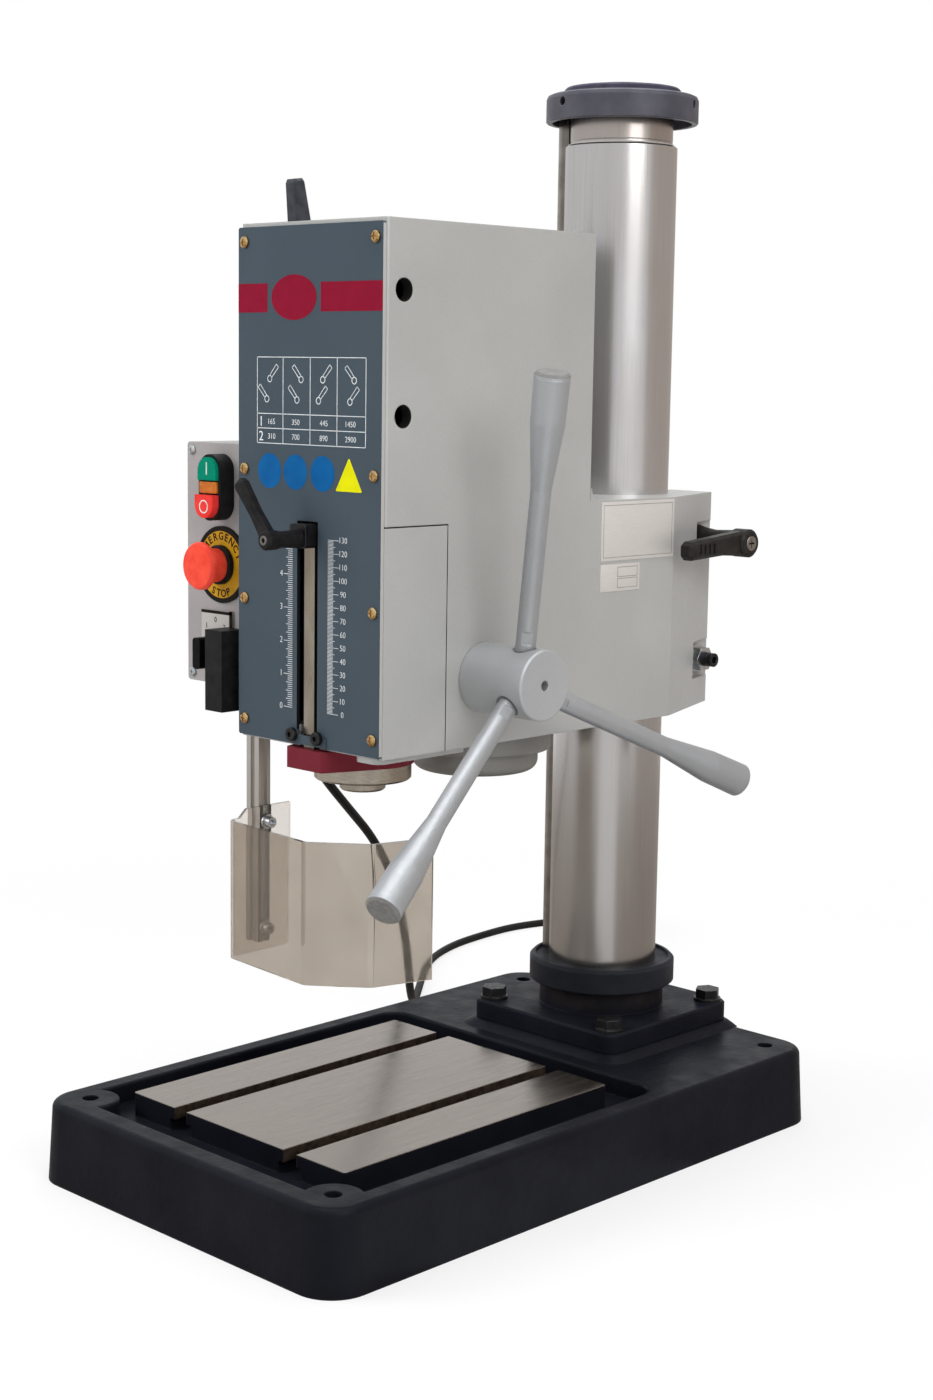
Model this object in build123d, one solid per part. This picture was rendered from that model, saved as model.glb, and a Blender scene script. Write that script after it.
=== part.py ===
# Bench drilling machine with a gear head on a round column.
# Millimetres, Z up, the front faces -Y. The origin is on the floor under the middle of the base.
from build123d import *
import math
import os

os.makedirs("parts", exist_ok=True)

# Fits and clearances
RUN = 0.05
CLEAR = 0.3
SEAM = 1.0

# Base casting
BASE_W = 350.0
BASE_D = 570.0
BASE_H = 64.0
BASE_DRAFT = 4.0
BASE_CORNER_R = 32.0
RIM_ROUND = 6.0
RIM_W = 23.0
TROUGH_Z = 48.0
TROUGH_EDGE_R = 2.5
WALL_BASE = 16.0
HOLLOW_Z = 34.0
ANCHOR_INSET = 33.0
ANCHOR_R = 6.5
ANCHOR_BOSS_R = 23.0
TABLE_W = 246.4
TABLE_Y0 = -224.0
TABLE_LEN = 288.0
TABLE_Z = 67.0
SLOT_PITCH = 128.0
SLOT_W = 14.7
SLOT_THROAT = 10.0
SLOT_HEAD_W = 25.0
DECK_Y0 = 92.0
PAD_H = 5.0
PAD_LIP = 1.5
PAD_FLARE = 12.0

# Column, flange and collars
COL_INSET = 86.0
COL_R = 47.0
COL_BORE_R = 37.0
COL_SHOULDER_Z = 825.0
COL_CHAMFER = 2.0
NECK_R = 43.0
NECK_GROOVE = 0.5
FLANGE_W = 163.0
FLANGE_T = 17.0
FLANGE_CORNER_R = 12.0
FLANGE_NECK_R = 54.5
FLANGE_NECK_H = 20.8
FLANGE_BOLT = 67.0
BOLT_R = 6.0
BOLT_AF = 19.0
BOLT_HEAD_H = 8.0
WASHER_R = 12.0
WASHER_T = 2.5
COLLAR_R = 63.7
COLLAR_RECESS_R = 58.6
COLLAR_RECESS = 7.5
COLLAR_LOW_RECESS = 2.0
COLLAR_LOW_EDGE = 2.5
COLLAR_LOW_H = 21.4
COLLAR_TOP_Z0 = 842.7
COLLAR_TOP_H = 22.8
COLLAR_ROUND = 4.0
SET_HOLE_R = 3.6
CAP_R = 48.5
CAP_T = 6.0
CAP_DOME = 3.5

# Elevating rack and pinion on the left of the column
RACK_W = 34.0
RACK_LAND = 5.0
RACK_MOD = 2.0
RACK_TIP_X = 55.5
LIFT_TEETH = 12
LIFT_Z = 445.0
LIFT_BOSS_R = 21.0
LIFT_SHAFT_R = 9.0
CRANK_R = 72.0
CRANK_BACK = 82.0
CRANK_T = 16.0
CRANK_GRIP = 66.0

# Head casting
HEAD_W = 160.0
HEAD_Y0 = -149.0
HEAD_Y1 = 79.0
HEAD_Z0 = 352.0
HEAD_Z1 = 744.0
HEAD_EDGE_R = 3.0
HEAD_WALL = 10.0
HEAD_FLOOR = 16.0
CLAMP_Z1 = 535.5
CLAMP_FRONT = 15.0
CLAMP_BACK = 77.0
CLAMP_TAIL = 46.6
CLAMP_ROOT_R = 10.0
SPLIT_W = 4.0
STUD_BACK = 60.0
STUD_HI_Z = 495.0
STUD_LO_Z = 391.5
STUD_R = 6.0
STUD_LO_OUT = 18.0
POCKET_X = 46.0
POCKET_BACK = 42.0
POCKET_H = 32.0
LEVER_OUT = 24.0
LEVER_REACH = 78.0
LEVER_T = 13.0
LEVER_HUB_R = 12.0
PLATE_Z = 566.0
PLATE_T = 12.0

# Front panel and fittings on it
PANEL_W = 159.0
PANEL_Z0 = 353.5
PANEL_Z1 = 741.0
PANEL_T = 3.0
PANEL_SCREW_X = 72.0
PANEL_SCREW_Z = (366.5, 460.5, 560.0, 730.0)
PANEL_SCREW_R = 4.4
PANEL_SCREW_SHANK = 2.2
SLOT_HALF = 11.5
SLOT_TOP = 523.5

# Quill, spindle and depth stop
SPINDLE_Y = -93.5
QUILL_R = 35.0
QUILL_BORE_R = 24.0
QUILL_Z0 = 322.0
QUILL_Z1 = 535.0
QUILL_RING_R = 38.0
QUILL_RING_H = 13.0
QUILL_BOSS_R = 48.0
QUILL_BOSS_Z1 = 520.0
BEARING_H = 18.0
NOSE_R = 18.0
NOSE_Z0 = 313.0
SPINDLE_R = 16.0
DRIVE_R = 11.0
DRIVE_FLAT = 17.0
SPINDLE_Z1 = 722.0
TAPER_R0 = 11.9
TAPER_R1 = 9.9
TAPER_L = 86.0
BRACKET_R = 40.0
BRACKET_H = 16.0
BRACKET_HALF = 20.0
BRACKET_EDGE_R = 3.0
BRACKET_Y = -155.0
BAR_HALF = 6.0
BAR_Y0 = -149.8
BAR_T = 4.0
BAR_Z1 = 521.0
GUIDE_HALF = 22.0
GUIDE_T = 1.2
GUIDE_Z0 = 354.0
GUIDE_H = 7.2
GUIDE_SCREW_X = 14.2
GUIDE_SCREW_Z = 360.8
GUIDE_SCREW_R = 2.5
GUIDE_HEAD_R = 5.2
GUIDE_HEAD_L = 4.2
STOP_HALF = 9.0
STOP_Z0 = 504.0
STOP_H = 18.0
STOP_Y = -162.0
STOP_BACK = 5.4
STOP_AXIS_DROP = 2.0
STOP_LEVER_Y = -195.0
STOP_STUD_R = 4.0
STOP_STUD_L = 11.0
STOP_ARM = 54.0
STOP_ARM_TURN = 39.0
STOP_ARM_T = 10.0
STOP_SCREW_R = 3.6

# Feed hub, pinion and arms
FEED_Y = -43.0
FEED_Z = 405.0
FEED_MOD = 2.0
FEED_TEETH = 18
FEED_SHAFT_R = 11.0
FEED_FACE = 13.0
HUB_R = 27.0
HUB_L = 63.7
ARM_R = 7.8
ARM_SEAT = 9.0
ARM_FLAT = 10.0
ARM_X0 = 124.0
ARM_X1 = 167.0
ARM_TIP = 233.0
ARM_GRIP_R = 13.5
ARM_FLARE = 150.0
ARM_PHASE = 96.0
CUP_R = 27.0
CUP_L = 30.0

# Gear train above the motor
GEAR_MOD = 3.0
GEAR_SMALL_TEETH = 14
GEAR_LARGE_TEETH = 28
GEAR_T = 16.0
GEAR_LOW_Z = 594.0
GEAR_HIGH_Z = 640.0
LAY_R = 9.0
SLEEVE_R = 16.5
MOTOR_R = 42.0
MOTOR_BORE_R = 27.0
MOTOR_SHAFT_R = 8.0
MOTOR_Z1 = 556.0
COWL_R = 51.5
COWL_T = 2.5
COWL_Z0 = 315.0
COWL_ROUND = 9.0
COWL_STEP_Z = 333.0
COWL_FLANGE_R = 62.0
FAN_R = 44.0

# Shift levers on the left
SHIFT_Y = -75.0
SHIFT_HI_Z = 693.4
SHIFT_LO_Z = 603.0
SHIFT_R = 7.0
SHIFT_HUB_R = 13.0
SHIFT_T = 13.0
SHIFT_TIP = 5.6
SHIFT_GAP = 1.0
SHIFT_HI_LEN = 90.0
SHIFT_LO_LEN = 68.0
SHIFT_LEAN = 8.8
SHIFT_EDGE = 1.8
RAIL_Y = -131.5
RAIL_HOLE_R = 8.6

# Side cover on the right
COVER_Y1 = -83.0
COVER_Z1 = 523.5
COVER_T = 4.0
BELLY_X0 = 44.0
BELLY_X1 = 72.0
BELLY_FRONT = 3.0
BELLY_Y1 = -50.0
BELLY_T = 5.0
BELLY_EDGE_R = 9.0

# Control box on the left
BOX_X0 = -162.0
BOX_Z0 = 386.0
BOX_Z1 = 577.5
BOX_Y0 = -136.0
BOX_Y1 = -80.0
BOX_WALL = 3.0
BOX_LID = 3.0
BOX_SLOPE = 30.0
BOX_SCREW_IN = 6.5
BOX_SCREW_R = 2.0
DUO_X = -117.5
DUO_Z = 543.2
DUO_W = 26.5
DUO_H = 52.0
DUO_T = 14.0
BTN_W = 22.0
BTN_IN = 5.7
START_PROUD = 3.0
STOP_PROUD = 6.0
LENS_H = 9.0
ESTOP_X = -118.0
ESTOP_Z = 482.0
ESTOP_DISC_R = 30.5
ESTOP_DISC_T = 2.0
ESTOP_COLLAR_R = 15.7
ESTOP_COLLAR_L = 5.0
ESTOP_NECK_R = 13.4
ESTOP_HEAD_R = 18.8
ESTOP_HEAD_L = 7.0
ESTOP_GAP = 13.0
ESTOP_NECK_START = 4.6
SWITCH_X = -124.0
SWITCH_Z = 422.0
SWITCH_W = 38.0
SWITCH_H = 45.0
SWITCH_T = 1.5
KNOB_X = -125.5
KNOB_Z = 412.0
KNOB_R = 13.0

# Swinging guard
GUARD_X = -96.5
GUARD_Y = -117.5
GUARD_BLOCK_W = 20.5
GUARD_FOOT_W = 30.0
GUARD_BLOCK_Y0 = -161.0
GUARD_BLOCK_Y1 = -138.6
GUARD_BLOCK_Z1 = 433.0
GUARD_FOOT_Z0 = 369.0
GUARD_FOOT_Y1 = -103.0
GUARD_PIN_R = 3.2
PROFILE_W = 15.0
PROFILE_D = 12.0
PROFILE_GROOVE = 5.0
PROFILE_GROOVE_D = 2.0
PROFILE_Z0 = 178.0
SHIELD_T = 3.0
SHIELD_Z0 = 172.0
SHIELD_Z1 = 283.0
SHIELD_TAB_Z1 = 290.0
SHIELD_REAR_Y = -92.5
SHIELD_FRONT_Y = -155.5
SHIELD_TAB_SLOPE = 8.5
SHIELD_NOSE = (14.0, -165.5)
SHIELD_SIDE = (53.5, -133.5)
SHIELD_END = (68.0, -83.5)
SHIELD_BEND_R = 8.0
GUARD_SCREW_Z = (190.0, 277.0)
GUARD_SCREW_R = 2.5

# Supply lead
LEAD_R = 4.0
GLAND_X = -140.0
GLAND_L = 42.0
GLAND_R = 11.0
ENTRY_STUB = 40.0
COIL_R = 44.0
COIL_TURNS = 4
COIL_X = -375.0
COIL_Y = 641.0
FLOOR_GAP = 0.2
PLUG_R = 17.0

# Sizes that follow from the ones above
ANCHOR_DX = BASE_W - 2 * ANCHOR_INSET
ANCHOR_DY = BASE_D - 2 * ANCHOR_INSET
COL_Y = BASE_D / 2 - COL_INSET
FLANGE_Z0 = BASE_H + PAD_H
FLANGE_Z1 = FLANGE_Z0 + FLANGE_T
COLLAR_LOW_Z0 = FLANGE_Z1 + FLANGE_NECK_H
COLLAR_LOW_Z1 = COLLAR_LOW_Z0 + COLLAR_LOW_H
COLLAR_TOP_Z1 = COLLAR_TOP_Z0 + COLLAR_TOP_H
RACK_Z0 = COLLAR_LOW_Z1 - COLLAR_LOW_RECESS + CLEAR
RACK_Z1 = COLLAR_TOP_Z0 + COLLAR_RECESS - CLEAR
LIFT_R = RACK_MOD * LIFT_TEETH / 2
LIFT_X = -(RACK_TIP_X - RACK_MOD + LIFT_R)
CRANK_Y = COL_Y + CRANK_BACK
CLAMP_Y1 = COL_Y - CLAMP_FRONT
CLAMP_Y2 = COL_Y + CLAMP_BACK
STUD_Y = COL_Y + STUD_BACK
POCKET_Y = COL_Y + POCKET_BACK
HX = HEAD_W / 2
PANEL_Y = HEAD_Y0 - PANEL_T
FEED_R = FEED_MOD * FEED_TEETH / 2
GEAR_CD = GEAR_MOD * (GEAR_SMALL_TEETH + GEAR_LARGE_TEETH) / 2
LAY_Y = SPINDLE_Y + GEAR_CD
MOTOR_Y = LAY_Y + GEAR_CD
BRACKET_Z0 = QUILL_Z0 + QUILL_RING_H
LID_Y = BOX_Y0 + BOX_LID
BTN_LEN = DUO_H - DUO_W + BTN_W
PROFILE_Z1 = GUARD_FOOT_Z0 - CLEAR
LEAD_Z = LEAD_R + FLOOR_GAP


def box(x0, x1, y0, y1, z0, z1):
    return Pos((x0 + x1) / 2, (y0 + y1) / 2, (z0 + z1) / 2) * Box(x1 - x0, y1 - y0, z1 - z0)


def cyl_z(r, z0, z1, x, y):
    return Pos(x, y, (z0 + z1) / 2) * Cylinder(r, z1 - z0)


def cyl_x(r, x0, x1, y, z):
    return Pos((x0 + x1) / 2, y, z) * Rot(0, 90, 0) * Cylinder(r, x1 - x0)


def cyl_y(r, y0, y1, x, z):
    return Pos(x, (y0 + y1) / 2, z) * Rot(90, 0, 0) * Cylinder(r, y1 - y0)


def prism(points, z0, z1):
    return extrude(Plane.XY.offset(z0) * make_face(Polyline(*points, close=True)), z1 - z0)


def rounded(w, d, r, z0, z1, x=0.0, y=0.0):
    return extrude(Plane.XY.offset(z0) * Pos(x, y) * RectangleRounded(w, d, r), z1 - z0)


def rounded_front(w, h, r, y0, y1, x, z):
    plane = Plane(origin=(x, y1, z), x_dir=(1, 0, 0), z_dir=(0, -1, 0))
    return extrude(plane * RectangleRounded(w, h, r), y1 - y0)


def stadium(w, h, y0, y1, x, z):
    plane = Plane(origin=(x, y1, z), x_dir=(1, 0, 0), z_dir=(0, -1, 0))
    return extrude(plane * SlotOverall(h, w, rotation=90), y1 - y0)


def yz_prism(points, x0, x1):
    face = make_face(Polyline(*[(0, y, z) for y, z in points], close=True))
    return Pos(x0, 0, 0) * extrude(face, x1 - x0, dir=(1, 0, 0))


def cross_recess(half, slot, y0, y1, x, z):
    # Cutter for a cross recess in a screw head that faces the front.
    return (box(x - half, x + half, y0, y1, z - slot / 2, z + slot / 2)
            + box(x - slot / 2, x + slot / 2, y0, y1, z - half, z + half))


def turned(points, x, y):
    face = make_face(Polyline(*[(r, 0, z) for r, z in points], close=True))
    return Pos(x, y, 0) * revolve(face, Axis.Z)


def turned_along(points, origin, direction):
    # Profile points are radius and distance along the direction.
    plane = Plane(origin=origin, z_dir=direction)
    face = make_face(Polyline(*[(r, 0, s) for r, s in points], close=True))
    return plane * revolve(face, Axis.Z)


def hex_z(af, z0, z1, x, y):
    return extrude(Plane.XY.offset(z0) * Pos(x, y) * RegularPolygon(af / math.sqrt(3), 6), z1 - z0)


def hex_x(af, x0, x1, y, z):
    plane = Plane(origin=(x0, y, z), x_dir=(0, 1, 0), z_dir=(1, 0, 0))
    return extrude(plane * RegularPolygon(af / math.sqrt(3), 6), x1 - x0)


def gear_outline(module, teeth, slack, turn):
    # Involute flanks as short chords, thinned by the slack on each flank.
    r = module * teeth / 2
    base = r * math.cos(math.radians(20))
    tip = r + 0.95 * module
    root = r - 1.25 * module
    inv20 = math.tan(math.radians(20)) - math.radians(20)
    half = math.pi / (2 * teeth) - slack / r
    points = []
    for k in range(teeth):
        mid = turn + 2 * math.pi * k / teeth
        flank = []
        for rr in (max(base, root + 0.05), 0.6 * base + 0.4 * r, r, 0.5 * (r + tip), tip):
            rr = max(rr, base)
            a = math.acos(min(1.0, base / rr))
            flank.append((rr, half + inv20 - (math.tan(a) - a)))
        points.append((root, mid - flank[0][1] - 0.02))
        points += [(rr, mid - w) for rr, w in flank]
        points += [(rr, mid + w) for rr, w in reversed(flank)]
        points.append((root, mid + flank[0][1] + 0.02))
    return [(rr * math.cos(a), rr * math.sin(a)) for rr, a in points]


def gear_z(module, teeth, z0, z1, x, y, turn):
    return Pos(x, y, 0) * prism(gear_outline(module, teeth, 0.06 * module, turn), z0, z1)


def rack_outline(module, count, first, tip, slack):
    # Points are depth and height; teeth stand at first + k pitches.
    pitch = math.pi * module
    t20 = math.tan(math.radians(20))
    mid = tip - 0.95 * module
    root = mid - 1.25 * module
    half = pitch / 4 - slack
    points = []
    for k in range(count):
        z = first + k * pitch
        points.append((root, z - half - (mid - root) * t20))
        points.append((tip, z - half + (tip - mid) * t20))
        points.append((tip, z + half - (tip - mid) * t20))
        points.append((root, z + half + (mid - root) * t20))
    return points, root


def save(name, shape):
    export_step(shape, "parts/" + name + ".step")


def group(*solids):
    out = []
    for s in solids:
        out += list(s.solids())
    return Compound(out)


# Base casting: drafted rim, trough, T-slotted table, rear deck, hollow underside
draft_deg = math.degrees(math.atan2(BASE_DRAFT, BASE_H))
base = extrude(RectangleRounded(BASE_W, BASE_D, BASE_CORNER_R), BASE_H, taper=draft_deg)
base = fillet(base.faces().sort_by(Axis.Z)[-1].edges(), RIM_ROUND)
trough_y0 = -BASE_D / 2 + RIM_W + 3
trough = rounded(BASE_W - 2 * RIM_W, DECK_Y0 - trough_y0, 18.0, TROUGH_Z, BASE_H + 1,
                 0, (trough_y0 + DECK_Y0) / 2)
for sx in (-1, 1):
    trough -= cyl_z(ANCHOR_BOSS_R, TROUGH_Z - 1, BASE_H + 2, sx * ANCHOR_DX / 2, -ANCHOR_DY / 2)
base -= trough
base = fillet(base.faces().sort_by(Axis.Z)[-1].inner_wires()[0].edges(), TROUGH_EDGE_R)
table_y1 = TABLE_Y0 + TABLE_LEN
base += rounded(TABLE_W, TABLE_LEN, 3.0, TROUGH_Z - 1, TABLE_Z, 0, (TABLE_Y0 + table_y1) / 2)
for sx in (-1, 1):
    cx = sx * SLOT_PITCH / 2
    base -= box(cx - SLOT_W / 2, cx + SLOT_W / 2, TABLE_Y0 - 1, table_y1 + 1, TROUGH_Z, TABLE_Z + 1)
    base -= box(cx - SLOT_HEAD_W / 2, cx + SLOT_HEAD_W / 2, TABLE_Y0 - 1, table_y1 + 1,
                TROUGH_Z, TABLE_Z - SLOT_THROAT)
pad_foot = FLANGE_W + 2 * PAD_FLARE
pad_top = FLANGE_W + 2 * PAD_LIP
pad_low = Plane.XY.offset(BASE_H - 0.5) * Pos(0, COL_Y)
pad_high = Plane.XY.offset(FLANGE_Z0) * Pos(0, COL_Y)
pad = loft([pad_low * RectangleRounded(pad_foot, pad_foot, FLANGE_CORNER_R + PAD_FLARE),
            pad_high * RectangleRounded(pad_top, pad_top, FLANGE_CORNER_R + PAD_LIP)])
pad += rounded(pad_top, pad_top, FLANGE_CORNER_R + PAD_LIP, BASE_H - RIM_ROUND - 2, FLANGE_Z0 - 1, 0, COL_Y)
pad &= rounded(BASE_W - 2 * BASE_DRAFT, BASE_D - 2 * BASE_DRAFT, BASE_CORNER_R, 0, FLANGE_Z0 + 1)
base += pad
hollow = box(-BASE_W / 2 + WALL_BASE, BASE_W / 2 - WALL_BASE, -BASE_D / 2 + WALL_BASE, 60, -1, HOLLOW_Z)
hollow += box(-BASE_W / 2 + WALL_BASE, BASE_W / 2 - WALL_BASE, 74, BASE_D / 2 - WALL_BASE, -1, HOLLOW_Z)
hollow -= box(-6, 6, -BASE_D / 2, BASE_D / 2, -2, HOLLOW_Z + 1)
for sx in (-1, 1):
    for sy in (-1, 1):
        hollow -= cyl_z(ANCHOR_BOSS_R, -2, HOLLOW_Z + 1, sx * ANCHOR_DX / 2, sy * ANCHOR_DY / 2)
base -= hollow
for sx in (-1, 1):
    for sy in (-1, 1):
        base -= cyl_z(ANCHOR_R, -1, BASE_H + 1, sx * ANCHOR_DX / 2, sy * ANCHOR_DY / 2)
        base -= cyl_z(BOLT_R, FLANGE_Z0 - 28, FLANGE_Z0 + 1, sx * FLANGE_BOLT, COL_Y + sy * FLANGE_BOLT)
save("base_casting", base)

# Column flange with its neck
flange = rounded(FLANGE_W, FLANGE_W, FLANGE_CORNER_R, FLANGE_Z0, FLANGE_Z1, 0, COL_Y)
flange = chamfer(flange.faces().sort_by(Axis.Z)[-1].edges(), 1.5)
flange += cyl_z(FLANGE_NECK_R, FLANGE_Z1 - 1, COLLAR_LOW_Z0, 0, COL_Y)
flange -= cyl_z(COL_R, FLANGE_Z0 - 1, COLLAR_LOW_Z0 + 1, 0, COL_Y)
for sx in (-1, 1):
    for sy in (-1, 1):
        flange -= cyl_z(BOLT_R, FLANGE_Z0 - 1, FLANGE_Z1 + 1, sx * FLANGE_BOLT, COL_Y + sy * FLANGE_BOLT)
save("column_flange", flange)

# Four hexagon bolts with washers
bolts = []
for sx in (-1, 1):
    for sy in (-1, 1):
        x = sx * FLANGE_BOLT
        y = COL_Y + sy * FLANGE_BOLT
        head_z = FLANGE_Z1 + WASHER_T
        b = cyl_z(BOLT_R, FLANGE_Z0 - 24, head_z + 1, x, y)
        b += hex_z(BOLT_AF, head_z, head_z + BOLT_HEAD_H, x, y)
        w = cyl_z(WASHER_R, FLANGE_Z1, head_z, x, y) - cyl_z(BOLT_R, FLANGE_Z1 - 1, head_z + 1, x, y)
        bolts += [b, w]
save("flange_bolts", group(*bolts))

# Column tube with a turned neck and a fine groove at the top
groove_z = COL_SHOULDER_Z + 4 * NECK_GROOVE
column = turned([(COL_BORE_R, FLANGE_Z0), (COL_R, FLANGE_Z0), (COL_R, COL_SHOULDER_Z - COL_CHAMFER),
                 (COL_R - COL_CHAMFER, COL_SHOULDER_Z), (NECK_R, COL_SHOULDER_Z), (NECK_R, groove_z),
                 (NECK_R - NECK_GROOVE, groove_z + NECK_GROOVE), (NECK_R, groove_z + 2 * NECK_GROOVE),
                 (NECK_R, COLLAR_TOP_Z1), (COL_BORE_R, COLLAR_TOP_Z1)], 0, COL_Y)
save("column", column)

# Collars that carry the ends of the rack
low = turned([(COL_R, COLLAR_LOW_Z0), (COLLAR_R - 1, COLLAR_LOW_Z0), (COLLAR_R, COLLAR_LOW_Z0 + 1),
              (COLLAR_R, COLLAR_LOW_Z1 - COLLAR_LOW_EDGE), (COLLAR_R - COLLAR_LOW_EDGE, COLLAR_LOW_Z1),
              (COLLAR_RECESS_R, COLLAR_LOW_Z1), (COLLAR_RECESS_R, COLLAR_LOW_Z1 - COLLAR_LOW_RECESS),
              (COL_R, COLLAR_LOW_Z1 - COLLAR_LOW_RECESS)], 0, COL_Y)
top = turned([(NECK_R, COLLAR_TOP_Z0 + COLLAR_RECESS), (COLLAR_RECESS_R, COLLAR_TOP_Z0 + COLLAR_RECESS),
              (COLLAR_RECESS_R, COLLAR_TOP_Z0), (COLLAR_R - 1, COLLAR_TOP_Z0), (COLLAR_R, COLLAR_TOP_Z0 + 1),
              (COLLAR_R, COLLAR_TOP_Z1 - COLLAR_ROUND),
              (COLLAR_R - 0.3 * COLLAR_ROUND, COLLAR_TOP_Z1 - 0.3 * COLLAR_ROUND),
              (COLLAR_R - COLLAR_ROUND, COLLAR_TOP_Z1), (NECK_R, COLLAR_TOP_Z1)], 0, COL_Y)
for k in range(3):
    a = math.radians(-100.7 + 120 * k)
    d = (math.cos(a), math.sin(a), 0)
    hole = [(0, NECK_R - 1), (SET_HOLE_R, NECK_R - 1), (SET_HOLE_R, COLLAR_R + 2), (0, COLLAR_R + 2)]
    zt = COLLAR_TOP_Z0 + COLLAR_RECESS + 0.45 * (COLLAR_TOP_H - COLLAR_RECESS)
    top -= turned_along(hole, (0, COL_Y, zt), d)
save("lower_collar", low)
save("upper_collar", top)

# Cap that closes the column
cap_plug_r = COL_BORE_R - 0.1
cap_z = COLLAR_TOP_Z1 + CAP_T
cap = turned([(0, COLLAR_TOP_Z1 - 14), (cap_plug_r, COLLAR_TOP_Z1 - 14), (cap_plug_r, COLLAR_TOP_Z1),
              (CAP_R, COLLAR_TOP_Z1), (CAP_R, cap_z - 1.5), (CAP_R - 1.5, cap_z),
              (0.6 * CAP_R, cap_z + 0.7 * CAP_DOME), (0, cap_z + CAP_DOME)], 0, COL_Y)
save("column_cap", cap)

# Elevating rack: teeth to the left behind a plain land, hollow back that rides round the column
rack_pitch = math.pi * RACK_MOD
rack_down = int((LIFT_Z - RACK_Z0 - 8) / rack_pitch)
rack_up = int((RACK_Z1 - LIFT_Z - 8) / rack_pitch)
rack_first = LIFT_Z - rack_down * rack_pitch
teeth, rack_root = rack_outline(RACK_MOD, rack_down + rack_up + 1, rack_first, RACK_TIP_X, 0.12)
rack_back = 0.86 * COL_R
outline = [(rack_back, RACK_Z0), (RACK_TIP_X, RACK_Z0), (RACK_TIP_X, rack_first - 5)]
outline += [(rack_root, rack_first - 4.2)] + teeth
last_z = rack_first + (rack_down + rack_up) * rack_pitch
outline += [(rack_root, last_z + 4.2), (RACK_TIP_X, last_z + 5), (RACK_TIP_X, RACK_Z1), (rack_back, RACK_Z1)]
rack_face = make_face(Polyline(*[(-x, 0, z) for x, z in outline], close=True))
rack_y0 = COL_Y - RACK_W / 2
rack_y1 = COL_Y + RACK_W / 2
rack = Pos(0, rack_y1, 0) * extrude(rack_face, RACK_W, dir=(0, -1, 0))
rack += box(-RACK_TIP_X, -rack_back, rack_y0, rack_y0 + RACK_LAND, RACK_Z0, RACK_Z1)
rack -= cyl_z(COL_R + CLEAR, RACK_Z0 - 1, RACK_Z1 + 1, 0, COL_Y)
save("elevating_rack", rack)

# Head casting
head = rounded(HEAD_W, HEAD_Y1 - HEAD_Y0, HEAD_EDGE_R, HEAD_Z0, HEAD_Z1, 0, (HEAD_Y0 + HEAD_Y1) / 2)
clamp_plan = [(-HX, HEAD_Y1 - 12), (HX, HEAD_Y1 - 12), (HX, CLAMP_Y1), (CLAMP_TAIL, CLAMP_Y2),
              (-CLAMP_TAIL, CLAMP_Y2), (-HX, CLAMP_Y1)]
head += prism(clamp_plan, HEAD_Z0, CLAMP_Z1)
root_fill = box(-HX, HX, HEAD_Y1 - 1, HEAD_Y1 + CLAMP_ROOT_R, CLAMP_Z1 - 1, CLAMP_Z1 + CLAMP_ROOT_R)
root_fill -= cyl_x(CLAMP_ROOT_R, -HX - 1, HX + 1, HEAD_Y1 + CLAMP_ROOT_R, CLAMP_Z1 + CLAMP_ROOT_R)
head += root_fill
head += cyl_y(LIFT_BOSS_R, COL_Y - 42, COL_Y + 62, LIFT_X, LIFT_Z)
head -= box(-HX + HEAD_WALL, HX - HEAD_WALL, HEAD_Y0 - 1, HEAD_Y1 - HEAD_WALL,
            HEAD_Z0 + HEAD_FLOOR, HEAD_Z1 - HEAD_WALL)
boss = cyl_z(QUILL_BOSS_R, HEAD_Z0 + 1, QUILL_BOSS_Z1, 0, SPINDLE_Y)
inner_x = HX - HEAD_WALL + 1
boss += box(-inner_x, inner_x, FEED_Y - 17, FEED_Y + 17, FEED_Z - 22, FEED_Z + 22)
boss += box(-inner_x, inner_x, HEAD_Y0 + 8, HEAD_Y1 - HEAD_WALL + 1, PLATE_Z, PLATE_Z + PLATE_T)
head += boss
head -= cyl_z(QUILL_R + RUN, HEAD_Z0 - 1, PLATE_Z - 1, 0, SPINDLE_Y)
head -= cyl_z(MOTOR_R + CLEAR, HEAD_Z0 - 1, PLATE_Z, 0, MOTOR_Y)
head -= cyl_x(FEED_SHAFT_R + RUN, -HX - 1, HX + 1, FEED_Y, FEED_Z)
head -= cyl_x(FEED_R + FEED_MOD + 0.5, -FEED_FACE - 1, FEED_FACE + 1, FEED_Y, FEED_Z)
for (y, r) in ((SPINDLE_Y, SLEEVE_R), (LAY_Y, LAY_R), (MOTOR_Y, MOTOR_SHAFT_R)):
    head -= cyl_z(r + RUN, PLATE_Z - 1, PLATE_Z + PLATE_T + 1, 0, y)
for (y, r) in ((SPINDLE_Y, SLEEVE_R), (LAY_Y, LAY_R)):
    ring = cyl_z(r + 8, HEAD_Z1 - HEAD_WALL - 12, HEAD_Z1 - 1, 0, y)
    head += ring
    head -= cyl_z(r + RUN, HEAD_Z1 - HEAD_WALL - 13, HEAD_Z1 - 6, 0, y)
head -= cyl_z(COL_R + RUN, HEAD_Z0 - 1, CLAMP_Z1 + 1, 0, COL_Y)
way_y0 = rack_y0 - 2 * CLEAR
way_y1 = rack_y1 + 2 * CLEAR
head -= box(-RACK_TIP_X - 1, -COL_R * 0.7, way_y0, way_y1, HEAD_Z0 - 1, CLAMP_Z1 + 1)
head -= cyl_y(LIFT_R + RACK_MOD + 0.5, way_y0, way_y1, LIFT_X, LIFT_Z)
head -= cyl_y(LIFT_SHAFT_R + RUN, COL_Y - 32, COL_Y + 70, LIFT_X, LIFT_Z)
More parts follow.
